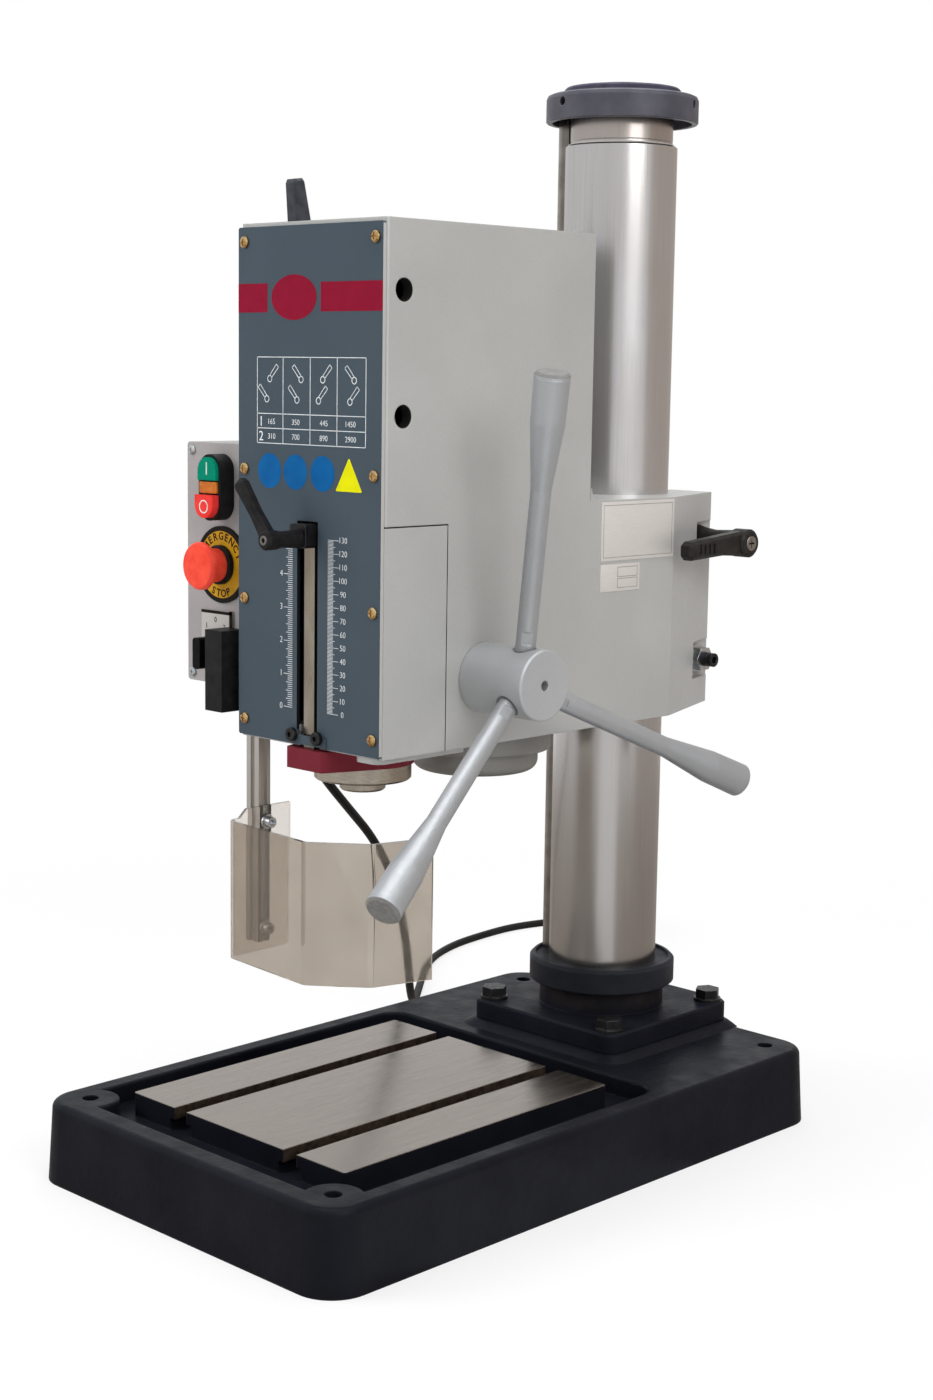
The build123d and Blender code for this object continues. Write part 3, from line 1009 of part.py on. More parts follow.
# Guard profile with a groove in each face, pin, shield and screws
profile_x0 = GUARD_X - PROFILE_W / 2
profile_x1 = GUARD_X + PROFILE_W / 2
profile = box(profile_x0, profile_x1, GUARD_Y - PROFILE_D / 2, GUARD_Y + PROFILE_D / 2,
              PROFILE_Z0, PROFILE_Z1)
half_groove = PROFILE_GROOVE / 2
for sy in (-1, 1):
    y0, y1 = sorted((GUARD_Y + sy * (PROFILE_D / 2 - PROFILE_GROOVE_D), GUARD_Y + sy * PROFILE_D))
    profile -= box(GUARD_X - half_groove, GUARD_X + half_groove, y0, y1, PROFILE_Z0 - 1, PROFILE_Z1 + 1)
for sx in (-1, 1):
    x0, x1 = sorted((GUARD_X + sx * (PROFILE_W / 2 - PROFILE_GROOVE_D), GUARD_X + sx * PROFILE_W))
    profile -= box(x0, x1, GUARD_Y - half_groove, GUARD_Y + half_groove, PROFILE_Z0 - 1, PROFILE_Z1 + 1)
pin_z0 = PROFILE_Z1 - 40
profile -= cyl_z(GUARD_PIN_R, pin_z0, PROFILE_Z1 + 1, GUARD_X, GUARD_Y)
gpin = cyl_z(GUARD_PIN_R, pin_z0, BOX_Z0 - 3, GUARD_X, GUARD_Y)
flange_x = profile_x1 + SHIELD_T / 2
path = FilletPolyline((flange_x, SHIELD_REAR_Y), (flange_x, SHIELD_FRONT_Y), SHIELD_NOSE, SHIELD_SIDE,
                      SHIELD_END, radius=SHIELD_BEND_R)
shield = extrude(Plane.XY.offset(SHIELD_Z0) * trace(path, SHIELD_T), SHIELD_Z1 - SHIELD_Z0)
tab_y = SHIELD_FRONT_Y + SHIELD_BEND_R + 1
shield += yz_prism([(SHIELD_REAR_Y, SHIELD_Z1 - 1), (SHIELD_REAR_Y, SHIELD_TAB_Z1),
                    (tab_y + SHIELD_TAB_SLOPE, SHIELD_TAB_Z1), (tab_y, SHIELD_Z1 - 1)],
                   profile_x1, profile_x1 + SHIELD_T)
gsc = []
screw_x = profile_x1 + SHIELD_T
for z in GUARD_SCREW_Z:
    shank = cyl_x(GUARD_SCREW_R, profile_x1 - 8, screw_x + 2, GUARD_Y, z)
    shield -= cyl_x(GUARD_SCREW_R, profile_x1 - 1, screw_x + 1, GUARD_Y, z)
    profile -= cyl_x(GUARD_SCREW_R, profile_x1 - 9, profile_x1 + 1, GUARD_Y, z)
    gsc.append(cyl_x(6.0, screw_x, screw_x + 1.4, GUARD_Y, z) - shank)
    cap_screw = shank + cyl_x(4.4, screw_x + 1.4, screw_x + 6.6, GUARD_Y, z)
    plane = Plane(origin=(screw_x + 4, GUARD_Y, z), x_dir=(0, 1, 0), z_dir=(1, 0, 0))
    gsc.append(cap_screw - extrude(plane * RegularPolygon(2.4, 6), 4))
save("guard_profile", profile)
save("guard_pivot_pin", gpin)
save("guard_shield", shield)
save("guard_screws", group(*gsc))

# Elevating pinion, crank and grip behind the clamp
lift_turn = math.pi / LIFT_TEETH
lift_plane = Plane(origin=(LIFT_X, rack_y1, LIFT_Z), x_dir=(1, 0, 0), z_dir=(0, -1, 0))
lift_teeth = gear_outline(RACK_MOD, LIFT_TEETH, 0.12, lift_turn)
pinion = extrude(lift_plane * make_face(Polyline(*lift_teeth, close=True)), RACK_W - RACK_LAND - 2 * CLEAR)
pinion += cyl_y(LIFT_SHAFT_R, COL_Y - 31, CRANK_Y + CRANK_T, LIFT_X, LIFT_Z)
save("elevating_pinion", pinion)
ca = math.radians(-135)
gx = LIFT_X + CRANK_R * math.cos(ca)
gz = LIFT_Z + CRANK_R * math.sin(ca)
crank = cyl_y(15, CRANK_Y, CRANK_Y + CRANK_T, LIFT_X, LIFT_Z)
crank += cyl_y(11, CRANK_Y + 3, CRANK_Y + CRANK_T, gx, gz)
bar_c = Pos(LIFT_X, CRANK_Y + 9.5, LIFT_Z) * Rot(0, 135, 0) * Pos(CRANK_R / 2, 0, 0) * Box(CRANK_R, 13, 20)
crank += bar_c
crank -= cyl_y(LIFT_SHAFT_R, CRANK_Y - 1, CRANK_Y + CRANK_T + 1, LIFT_X, LIFT_Z)
cgrip = turned_along([(0, 0), (8, 0), (11.5, 8), (11.5, CRANK_GRIP - 12), (9.5, CRANK_GRIP - 4),
                      (5, CRANK_GRIP), (0, CRANK_GRIP)], (gx, CRANK_Y + CRANK_T, gz), (0, 1, 0))
save("elevating_crank", group(crank, cgrip))

# Cable gland on the sloped edge of the control box
slope_mid = Vector(GLAND_X, BOX_Y1 - BOX_SLOPE / 2, BOX_Z0 + BOX_SLOPE / 2)
gdir = Vector(0, 1, -1).normalized()
gland = turned_along([(LEAD_R, 0), (GLAND_R, 0), (GLAND_R, 9), (GLAND_R - 2, 11), (8.2, 18),
                      (LEAD_R + 1.2, GLAND_L), (LEAD_R, GLAND_L)], slope_mid, gdir)
save("cable_gland", gland)
lead_start = slope_mid + gdir * (GLAND_L - 12)
lead_free = slope_mid + gdir * (GLAND_L + 22)

# Supply lead: hangs from the gland, runs along the floor behind the base
lead_points = [tuple(lead_start), tuple(lead_free), (-156, -19, 325), (-172.5, 17.6, 288),
               (-194.4, 71.3, 247), (-218, 127, 206), (-237, 172, 155), (-249, 199, 92), (-259, 215, 38),
               (-292, 253, 6), (-343.7, 313.4, LEAD_Z), (-402, 380, LEAD_Z), (-434, 450, LEAD_Z),
               (-443, 522, LEAD_Z)]
entry_heading = Vector(0.29, 0.957, 0).normalized()
entry_right = Vector(entry_heading.Y, -entry_heading.X, 0)
entry = Vector(COIL_X, COIL_Y, LEAD_Z) - entry_right * COIL_R
lead_points.append(tuple(entry - entry_heading * (ENTRY_STUB + 50)))
lead_points.append(tuple(entry - entry_heading * (ENTRY_STUB + CLEAR)))


def turn_radii(points):
    out = []
    for i in range(1, len(points) - 1):
        a = Vector(*points[i]) - Vector(*points[i - 1])
        b = Vector(*points[i + 1]) - Vector(*points[i])
        turn = math.radians(a.get_angle(b))
        out.append(0.45 * min(a.length, b.length) / math.tan(turn / 2))
    return out


def report_tube(name, tube, length):
    ratio = tube.volume / (math.pi * LEAD_R ** 2 * length)
    print(name, "length", round(length, 1), "volume ratio", round(ratio, 4))


radii = turn_radii(lead_points)
print("lead radii", [round(r, 1) for r in radii])
lead_path = FilletPolyline(*lead_points, radius=radii)
lead_first = Vector(*lead_points[1]) - Vector(*lead_points[0])
lead = sweep(Plane(origin=lead_points[0], z_dir=lead_first) * Circle(LEAD_R), path=lead_path)
report_tube("lead", lead, lead_path.length)
save("mains_lead", lead)

# Coil of the spare length with the straight stub that enters it and its tail, and the plug
stub_l = ENTRY_STUB - CLEAR
stub = turned_along([(0, 0), (LEAD_R, 0), (LEAD_R, stub_l), (0, stub_l)],
                    entry - entry_heading * ENTRY_STUB, entry_heading)
coil_pitch = 2 * LEAD_R + 0.4
a0 = math.atan2(entry.Y - COIL_Y, entry.X - COIL_X)
out_heading = Vector(0.647, -0.762, 0).normalized()
out_right = Vector(out_heading.Y, -out_heading.X, 0)
a1 = math.atan2(-out_right.Y, -out_right.X)
sweep_angle = (a0 - a1) % (2 * math.pi) + 2 * math.pi * (COIL_TURNS - 1)
coil_rise = coil_pitch * sweep_angle / (2 * math.pi)
coil_path = Helix(coil_pitch, coil_rise, COIL_R, center=(COIL_X, COIL_Y, LEAD_Z), lefthand=True)
coil_path = coil_path.rotate(Axis((COIL_X, COIL_Y, 0), (0, 0, 1)), math.degrees(a0))
coil_start = Plane(origin=coil_path @ 0, z_dir=coil_path % 0)
coil = sweep(coil_start * Circle(LEAD_R), path=coil_path, is_frenet=True)
tail0 = coil_path @ 1 + out_heading * CLEAR
tail_drop = tail0.Z - PLUG_R - FLOOR_GAP
tail_side = -out_right
tail_points = [tuple(tail0)]
for (along, side, drop) in ((35, 0, 0.05), (70, -4, 0.4), (105, -12, 0.92), (140, -18, 1.0), (172, -21, 1.0)):
    tail_points.append(tuple(tail0 + out_heading * along + tail_side * side - Vector(0, 0, tail_drop * drop)))
tail_radii = turn_radii(tail_points)
print("tail radii", [round(r, 1) for r in tail_radii])
tail_path = FilletPolyline(*tail_points, radius=tail_radii)
tail_first = Vector(*tail_points[1]) - Vector(*tail_points[0])
tail = sweep(Plane(origin=tail_points[0], z_dir=tail_first) * Circle(LEAD_R), path=tail_path)
report_tube("coil", coil, coil_path.length)
report_tube("tail", tail, tail_path.length)
save("lead_coil", group(stub, coil, tail))
plug_at = Vector(*tail_points[-1])
plug_dir = Vector(plug_at.X - tail_points[-2][0], plug_at.Y - tail_points[-2][1], 0).normalized()
plug = turned_along([(0, 0), (6.5, 0), (7.5, 14), (14, 24), (PLUG_R, 30), (PLUG_R, 52), (0, 52)],
                    plug_at, plug_dir)
for sx in (-1, 1):
    side = Vector(plug_dir.Y, -plug_dir.X, 0) * (9.5 * sx)
    plug += turned_along([(0, 50), (2.4, 50), (2.4, 70), (1.6, 71), (0, 71)], plug_at + side, plug_dir)
save("lead_plug", plug)
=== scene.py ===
# Bench drilling machine with a gear head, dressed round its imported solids.
import math
import bmesh
import bpy
from mathutils import Matrix, Vector


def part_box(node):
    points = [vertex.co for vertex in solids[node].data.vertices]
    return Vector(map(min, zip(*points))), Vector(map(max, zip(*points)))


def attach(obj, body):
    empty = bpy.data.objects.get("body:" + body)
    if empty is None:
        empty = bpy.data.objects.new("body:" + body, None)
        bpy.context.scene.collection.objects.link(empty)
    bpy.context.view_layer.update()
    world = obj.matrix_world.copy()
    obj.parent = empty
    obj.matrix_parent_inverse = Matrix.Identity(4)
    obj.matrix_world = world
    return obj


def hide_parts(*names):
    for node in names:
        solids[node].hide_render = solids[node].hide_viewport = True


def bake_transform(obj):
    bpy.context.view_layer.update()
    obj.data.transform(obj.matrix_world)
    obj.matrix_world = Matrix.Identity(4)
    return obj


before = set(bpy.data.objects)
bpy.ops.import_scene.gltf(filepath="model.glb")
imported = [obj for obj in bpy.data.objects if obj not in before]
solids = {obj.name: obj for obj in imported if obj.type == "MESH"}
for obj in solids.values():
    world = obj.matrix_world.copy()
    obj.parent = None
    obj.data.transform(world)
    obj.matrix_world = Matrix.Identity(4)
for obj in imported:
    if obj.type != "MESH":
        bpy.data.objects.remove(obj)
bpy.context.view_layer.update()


# Base casting
# One grey-iron casting with a drafted rim, a trough and a raised table with two T-slots.
# It is filled, rubbed down and sprayed blue-black; only the lands of the table are ground bright,
# and the walls of the slots are left as they were milled.
def card(red, green, blue):
    # A colour-card shade made linear for the shaders.
    shade = [c / 3294.6 if c < 11 else ((c / 255 + 0.055) / 1.055) ** 2.4 for c in (red, green, blue)]
    return (*shade, 1.0)


def wire(finish, socket, value):
    # A socket takes a plain value or the output of another node.
    if isinstance(value, bpy.types.NodeSocket):
        finish.node_tree.links.new(value, socket)
    else:
        socket.default_value = value


def node(finish, kind, inputs, **settings):
    made = finish.node_tree.nodes.new("ShaderNode" + kind)
    for key, value in settings.items():
        setattr(made, key, value)
    for key, value in inputs.items():
        wire(finish, made.inputs[key], value)
    return made


def new_finish(name, rough, metal, shine=0.5):
    finish = bpy.data.materials.new(name)
    finish.use_nodes = True
    coat = finish.node_tree.nodes["Principled BSDF"].inputs
    coat["Roughness"].default_value = rough
    coat["Metallic"].default_value = metal
    coat["Specular IOR Level"].default_value = shine
    return finish


def surface(finish, socket, value):
    wire(finish, finish.node_tree.nodes["Principled BSDF"].inputs[socket], value)


def grain(finish, size, detail, stretch=(1, 1, 1)):
    # Noise fixed to the piece; a larger stretch makes it finer along that axis.
    place = node(finish, "TexCoord", {}).outputs["Object"]
    grid = node(finish, "Mapping", {"Vector": place, "Scale": stretch}).outputs["Vector"]
    return node(finish, "TexNoise", {"Vector": grid, "Scale": 1 / size, "Detail": detail}).outputs["Fac"]


def shades(finish, amount, *stops):
    ramp = node(finish, "ValToRGB", {"Fac": amount})
    bands = ramp.color_ramp.elements
    while len(bands) < len(stops):
        bands.new(1.0)
    for band, (place, colour) in zip(bands, stops):
        band.position = place
        band.color = colour
    return ramp.outputs["Color"]


def two_tone(finish, noise, dark, light):
    return shades(finish, noise, (0.3, dark), (0.7, light))


def sums(finish, task, first, second=0.0):
    return node(finish, "Math", {0: first, 1: second}, operation=task).outputs[0]


def both(finish, *masks):
    # One where every mask is one.
    joined = masks[0]
    for mask in masks[1:]:
        joined = sums(finish, "MULTIPLY", joined, mask)
    return joined


def above(finish, value, limit):
    return sums(finish, "GREATER_THAN", value, limit)


def below(finish, value, limit):
    return sums(finish, "LESS_THAN", value, limit)


def within(finish, value, low, high):
    # One between two limits.
    return both(finish, above(finish, value, low), below(finish, value, high))


def span(finish, value, low, high, start=0.0, end=1.0):
    limits = {"Value": value, "From Min": low, "From Max": high, "To Min": start, "To Max": end}
    return node(finish, "MapRange", limits).outputs["Result"]


def uneven_gloss(finish, noise, low, high):
    # Roughness that drifts between two values.
    surface(finish, "Roughness", span(finish, noise, 0.3, 0.7, low, high))


def mixed(finish, share, first, second):
    blend = node(finish, "Mix", {0: share}, data_type="RGBA")
    wire(finish, blend.inputs[6], first)
    wire(finish, blend.inputs[7], second)
    return blend.outputs[2]


def axes(finish):
    place = node(finish, "TexCoord", {}).outputs["Object"]
    return node(finish, "SeparateXYZ", {"Vector": place}).outputs


def worn_edge(finish, width):
    # One on a sharp edge and nought on the flat, from the rounded normal.
    rounded = node(finish, "Bevel", {"Radius": width}, samples=4).outputs["Normal"]
    flat = node(finish, "NewGeometry", {}).outputs["Normal"]
    near = node(finish, "VectorMath", {0: rounded, 1: flat}, operation="DOT_PRODUCT").outputs["Value"]
    return span(finish, near, 0.995, 0.80)


def relief(finish, height, depth, round_edge=0.0):
    bump = node(finish, "Bump", {"Height": height, "Distance": depth})
    if round_edge:
        rounded = node(finish, "Bevel", {"Radius": round_edge}, samples=4)
        wire(finish, bump.inputs["Normal"], rounded.outputs["Normal"])
    surface(finish, "Normal", bump.outputs["Normal"])


def present(finish, socket):
    # What the shader has on a socket so far.
    used = finish.node_tree.nodes["Principled BSDF"].inputs[socket]
    return used.links[0].from_socket if used.links else used.default_value


def overlay(finish, mask, colour, metal, rough):
    # Another finish where the mask is one, over what the shader already has.
    surface(finish, "Base Color", mixed(finish, mask, present(finish, "Base Color"), colour))
    surface(finish, "Metallic", span(finish, mask, 0, 1, present(finish, "Metallic"), metal))
    surface(finish, "Roughness", span(finish, mask, 0, 1, present(finish, "Roughness"), rough))


def dress(name, finish):
    for place in solids[name].material_slots:
        place.material = finish


def enamel(name, dark, light, rubbed, wear, rough):
    # Casting enamel over filler: a cloudy tone, edges rubbed a little lighter.
    finish = new_finish(name, rough, 0.0, 0.06)
    cloud = two_tone(finish, grain(finish, 0.05, 5), dark, light)
    patchy = span(finish, grain(finish, 0.012, 4), 0.35, 0.75, 0.0, wear)
    rub = both(finish, worn_edge(finish, 0.002), patchy)
    surface(finish, "Base Color", mixed(finish, rub, cloud, rubbed))
    uneven_gloss(finish, grain(finish, 0.02, 4), rough - 0.06, rough + 0.1)
    return finish


base_finish = enamel("casting_enamel", card(19, 20, 26), card(25, 26, 33), card(60, 62, 70), 0.3, 0.36)
table_front, table_back, trough_z, land_z = -0.2245, 0.0645, 0.0565, 0.0668
slot_x, slot_half = 0.064, 0.0076
base_x, base_y, base_z = axes(base_finish)[0:3]
on_table = within(base_finish, base_y, table_front, table_back)
land = both(base_finish, on_table, above(base_finish, base_z, land_z))
from_slot = sums(base_finish, "SUBTRACT", sums(base_finish, "ABSOLUTE", base_x), slot_x)
in_slot = below(base_finish, sums(base_finish, "ABSOLUTE", from_slot), slot_half)
slot_wall = both(base_finish, on_table, in_slot, above(base_finish, base_z, trough_z))
rusty = two_tone(base_finish, grain(base_finish, 0.006, 4), card(38, 31, 28), card(70, 57, 48))
overlay(base_finish, slot_wall, rusty, 0.3, 0.55)
ground_lines = grain(base_finish, 0.004, 6, (9, 0.5, 1))
ground = two_tone(base_finish, ground_lines, card(135, 126, 119), card(148, 139, 130))
ground_rough = span(base_finish, grain(base_finish, 0.02, 3, (6, 0.5, 1)), 0.3, 0.7, 0.17, 0.27)
overlay(base_finish, land, ground, 0.95, ground_rough)
cast_skin = both(base_finish, grain(base_finish, 0.007, 3), sums(base_finish, "SUBTRACT", 1.0, land))
relief(base_finish, cast_skin, 0.0003, 0.0022)
dress("base_casting", base_finish)


# Column flange and its bolts
# A square cast foot with a turned neck, bolted down through washers at its four corners.
# The casting wears the same enamel as the base; the bolts are blackened steel, rubbed at the flats.
flange_finish = enamel("flange_enamel", card(20, 21, 28), card(28, 29, 37), card(60, 62, 70), 0.3, 0.38)
neck_low, neck_high = 0.088, 0.094
on_neck = span(flange_finish, axes(flange_finish)[2], neck_low, neck_high, 0.0, 0.6)
oil_cloud = grain(flange_finish, 0.014, 4)
oily = two_tone(flange_finish, oil_cloud, card(26, 24, 24), card(46, 41, 39))
overlay(flange_finish, on_neck, oily, 0.0, 0.5)
relief(flange_finish, grain(flange_finish, 0.006, 3), 0.0003, 0.002)
dress("column_flange", flange_finish)


def black_oxide(name):
    finish = new_finish(name, 0.36, 0.7)
    rub = both(finish, worn_edge(finish, 0.0012), span(finish, grain(finish, 0.004, 4), 0.35, 0.7))
    tone = shades(finish, grain(finish, 0.01, 5), (0.3, card(26, 26, 29)), (0.75, card(46, 45, 47)))
    surface(finish, "Base Color", mixed(finish, rub, tone, card(98, 95, 92)))
    uneven_gloss(finish, grain(finish, 0.003, 3), 0.3, 0.5)
    relief(finish, grain(finish, 0.001, 2), 0.00008, 0.0006)
    return finish


bolt_black = black_oxide("bolt_black")
dress("flange_bolts", bolt_black)


# Column
# A thick steel tube, ground on centres to a bright finish, with a shouldered neck at the top.
# Wiping leaves faint streaks along it; its lower part is painted darker towards the foot as painted shade
# below the head, and the neck over the shoulder is painted darker and browner.
column_steel = new_finish("column_steel", 0.25, 1.0)
streak = grain(column_steel, 0.007, 4, (3, 3, 0.05))
stain = grain(column_steel, 0.09, 4, (1, 1, 0.35))
streak_tones = ((0.3, card(190, 186, 182)), (0.5, card(200, 200, 202)), (0.7, card(193, 192, 200)))
bright = shades(column_steel, streak, *streak_tones)
dulled = shades(column_steel, stain, (0.35, card(190, 185, 180)), (0.65, card(210, 208, 207)))
surface(column_steel, "Base Color", mixed(column_steel, 0.5, bright, dulled))
uneven_gloss(column_steel, stain, 0.22, 0.28)
shade_top, shade_low, shoulder_z = 0.50, 0.16, 0.825
column_z = axes(column_steel)[2]
# The lower column is painted darker towards the foot, painted shade below the head.
low_shade_tone = two_tone(column_steel, stain, card(137, 131, 126), card(156, 151, 147))
low_shade_share = span(column_steel, column_z, shade_top, shade_low, 0.0, 0.62)
overlay(column_steel, low_shade_share, low_shade_tone, 1.0, 0.27)
# The neck over the shoulder is painted darker and browner.
over_shoulder = span(column_steel, column_z, shoulder_z - 0.001, shoulder_z + 0.004, 0.0, 0.45)
overlay(column_steel, over_shoulder, card(150, 132, 118), 1.0, 0.26)
# The ledge of the shoulder is painted pale and dull, a painted highlight where the shoulder catches light.
ledge = within(column_steel, column_z, shoulder_z - 0.0007, shoulder_z + 0.0006)
overlay(column_steel, ledge, card(205, 198, 191), 0.1, 0.55)
relief(column_steel, streak, 0.00001, 0.0006)
dress("column", column_steel)


# Collars and cap of the column
# Two turned rings hold the ends of the rack: the lower is enamelled black, the upper gunmetal grey.
# A moulded cap shuts the top of the tube.
lower_finish = enamel("collar_enamel", card(30, 31, 36), card(41, 42, 48), card(82, 84, 90), 0.5, 0.4)
relief(lower_finish, grain(lower_finish, 0.003, 3), 0.00012, 0.0016)
dress("lower_collar", lower_finish)
gunmetal = new_finish("collar_gunmetal", 0.42, 0.15, 0.2)
gun_tone = two_tone(gunmetal, grain(gunmetal, 0.02, 5), card(68, 68, 76), card(82, 81, 89))
gun_edge = both(gunmetal, worn_edge(gunmetal, 0.0015), span(gunmetal, grain(gunmetal, 0.01, 3), 0.3, 0.8))
surface(gunmetal, "Base Color", mixed(gunmetal, gun_edge, gun_tone, card(140, 137, 146)))
gun_lines = grain(gunmetal, 0.003, 3, (1, 1, 5))
uneven_gloss(gunmetal, gun_lines, 0.36, 0.5)
relief(gunmetal, gun_lines, 0.00005, 0.0012)
dress("upper_collar", gunmetal)


def moulded(name, dark, light, rough, shine=0.1):
    # Injection-moulded plastic with a spark-eroded texture.
    finish = new_finish(name, rough, 0.0, shine)
    surface(finish, "Base Color", two_tone(finish, grain(finish, 0.008, 4), dark, light))
    uneven_gloss(finish, grain(finish, 0.002, 3), rough - 0.06, rough + 0.1)
    relief(finish, grain(finish, 0.0009, 2), 0.00009, 0.0009)
    return finish


dress("column_cap", moulded("cap_plastic", card(62, 60, 74), card(78, 76, 92), 0.45))


# Elevating rack
# A milled steel rack that stands beside the column between the two collars.
# Its flanks are oiled, and it is painted darker from the tips of the teeth towards their roots.
rack_steel = new_finish("rack_steel", 0.34, 0.95)
oil = grain(rack_steel, 0.012, 5)
milled = two_tone(rack_steel, oil, card(156, 151, 145), card(188, 183, 177))
tip_x, root_x = -0.0555, -0.0510
# The rack is painted darker from the tips of the teeth towards their roots.
in_root = span(rack_steel, axes(rack_steel)[0], tip_x, root_x, 0.0, 0.6)
surface(rack_steel, "Base Color", mixed(rack_steel, in_root, milled, card(58, 52, 47)))
uneven_gloss(rack_steel, oil, 0.26, 0.44)
relief(rack_steel, grain(rack_steel, 0.0012, 3, (1, 6, 1)), 0.00005, 0.0004)
dress("elevating_rack", rack_steel)


# Head casting and its covers
# The gear head is a box casting with a split clamp at the rear, filled, rubbed down and sprayed silver.
# The side cover and the belly plate are sheet steel in the same silver, with a hairline gap round them whose
# walls and floor are painted dark, painted shade.
# Inside, the casting is painted dark, painted shade in the hollow of the box, and so are the bores of the
# rail holes.
def silver_paint(name, dark, light, edge, metal=0.25):
    # Silver lacquer: fine flake, a soft orange peel, edges a little thin.
    finish = new_finish(name, 0.42, metal, 0.4)
    tone = two_tone(finish, grain(finish, 0.11, 3), dark, light)
    flake = grain(finish, 0.0006, 2)
    fleck = shades(finish, flake, (0.35, card(140, 140, 140)), (0.68, card(214, 214, 212)))
    rub = sums(finish, "MULTIPLY", worn_edge(finish, 0.0012), 0.35)
    surface(finish, "Base Color", mixed(finish, rub, mixed(finish, 0.1, tone, fleck), edge))
    uneven_gloss(finish, grain(finish, 0.004, 3), 0.36, 0.48)
    relief(finish, grain(finish, 0.0022, 2), 0.00012, 0.0016)
    return finish


def off_line(finish, across, up, middle_across, middle_up):
    # How far a point is from a straight line that is seen end on.
    here = node(finish, "CombineXYZ", {0: across, 1: up}).outputs[0]
    middle = (middle_across, middle_up, 0)
    return node(finish, "VectorMath", {0: here, 1: middle}, operation="DISTANCE").outputs["Value"]


silver_dark, silver_light, silver_edge = card(170, 170, 168), card(180, 180, 178), card(204, 204, 202)
head_silver = silver_paint("head_silver", silver_dark, silver_light, silver_edge)
seam_root, seam_mouth, seam_shade = 0.075, 0.0797, card(34, 33, 32)
cover_rear, cover_foot, cover_head = -0.08405, 0.3521, 0.52245
cover_x, cover_y, cover_z = axes(head_silver)[0:3]
# The edges of the cover inside the gap round it are painted dark, painted shade.
over_belly = above(head_silver, cover_z, cover_foot)
rear_rim = both(head_silver, above(head_silver, cover_y, cover_rear), over_belly)
cover_rim = sums(head_silver, "MAXIMUM", rear_rim, above(head_silver, cover_z, cover_head))
seam_side = both(head_silver, cover_rim, below(head_silver, cover_x, seam_mouth))
overlay(head_silver, seam_side, seam_shade, 0.0, 0.7)
dress("side_cover", head_silver)
casting_silver = silver_paint("casting_silver", silver_dark, silver_light, silver_edge)
head_x, head_y, head_z = axes(casting_silver)[0:3]
wall_x, panel_back, rear_wall, inner_floor, inner_roof = 0.0697, -0.1488, 0.0688, 0.3682, 0.7338
between_walls = below(casting_silver, sums(casting_silver, "ABSOLUTE", head_x), wall_x)
behind_panel = within(casting_silver, head_y, panel_back, rear_wall)
under_roof = within(casting_silver, head_z, inner_floor, inner_roof)
inside = both(casting_silver, between_walls, behind_panel, under_roof)
# The inside of the box is painted dark, painted shade.
inside_shade_cloud = grain(casting_silver, 0.02, 4)
inside_shade = two_tone(casting_silver, inside_shade_cloud, card(30, 29, 28), card(44, 42, 40))
overlay(casting_silver, inside, inside_shade, 0.0, 0.7)
# The walls and floor of the gap round the cover are painted dark, painted shade.
seam_top, seam_rear = 0.5236, -0.0829
seam_deep = within(casting_silver, head_x, seam_root, seam_mouth)
under_seam = below(casting_silver, head_z, seam_top)
seam_floor = both(casting_silver, seam_deep, under_seam, below(casting_silver, head_y, seam_rear))
overlay(casting_silver, seam_floor, seam_shade, 0.0, 0.7)
# The bores of the rail holes are painted dark, painted shade.
in_wall = within(casting_silver, head_x, 0.0695, 0.0799)
rail_y, rail_r = -0.1315, 0.0089
for rail_z in (0.6934, 0.603):
    from_rail = off_line(casting_silver, head_y, head_z, rail_y, rail_z)
    in_hole = both(casting_silver, in_wall, below(casting_silver, from_rail, rail_r))
    overlay(casting_silver, in_hole, card(24, 23, 22), 0.0, 0.7)
dress("head_housing", casting_silver)


# Clamp studs, nuts and lever
# Two studs draw the split clamp shut on the column; the lower has a plain nut, the upper a lever.
# Nuts and washers are blue-passivated zinc, the studs are blackened, the lever is nylon on a steel screw.
def zinc_plate(name):
    finish = new_finish(name, 0.26, 1.0)
    cloud = grain(finish, 0.006, 5)
    tones = ((0.3, card(162, 168, 178)), (0.55, card(196, 199, 202)), (0.8, card(212, 209, 200)))
    surface(finish, "Base Color", shades(finish, cloud, *tones))
    uneven_gloss(finish, cloud, 0.2, 0.36)
    relief(finish, grain(finish, 0.0008, 2), 0.00003, 0.0005)
    return finish


def placed(name, shape, finish):
    # A mesh with its finish, put into the scene.
    mesh = bpy.data.meshes.new(name)
    shape.to_mesh(mesh)
    shape.free()
    mesh.materials.append(finish)
    piece = bpy.data.objects.new(name, mesh)
    bpy.context.scene.collection.objects.link(piece)
    return piece


def fit(name, shape, finish, body):
    # Millimetre mesh to metres, faces outwards, sharp corners kept, then it rides on its body.
    bmesh.ops.recalc_face_normals(shape, faces=shape.faces)
    for face in shape.faces:
        face.smooth = True
    for edge in shape.edges:
        edge.smooth = edge.calc_face_angle(0.0) < 0.6
    bmesh.ops.scale(shape, vec=(0.001, 0.001, 0.001), verts=shape.verts)
    piece = placed(name, shape, finish)
    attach(piece, body)


def drawn_up(shape, depth):
    # Flat faces drawn up into a solid.
    lifted = bmesh.ops.extrude_face_region(shape, geom=shape.faces[:])["geom"]
    raised = [item for item in lifted if isinstance(item, bmesh.types.BMVert)]
    bmesh.ops.translate(shape, vec=(0, 0, depth), verts=raised)


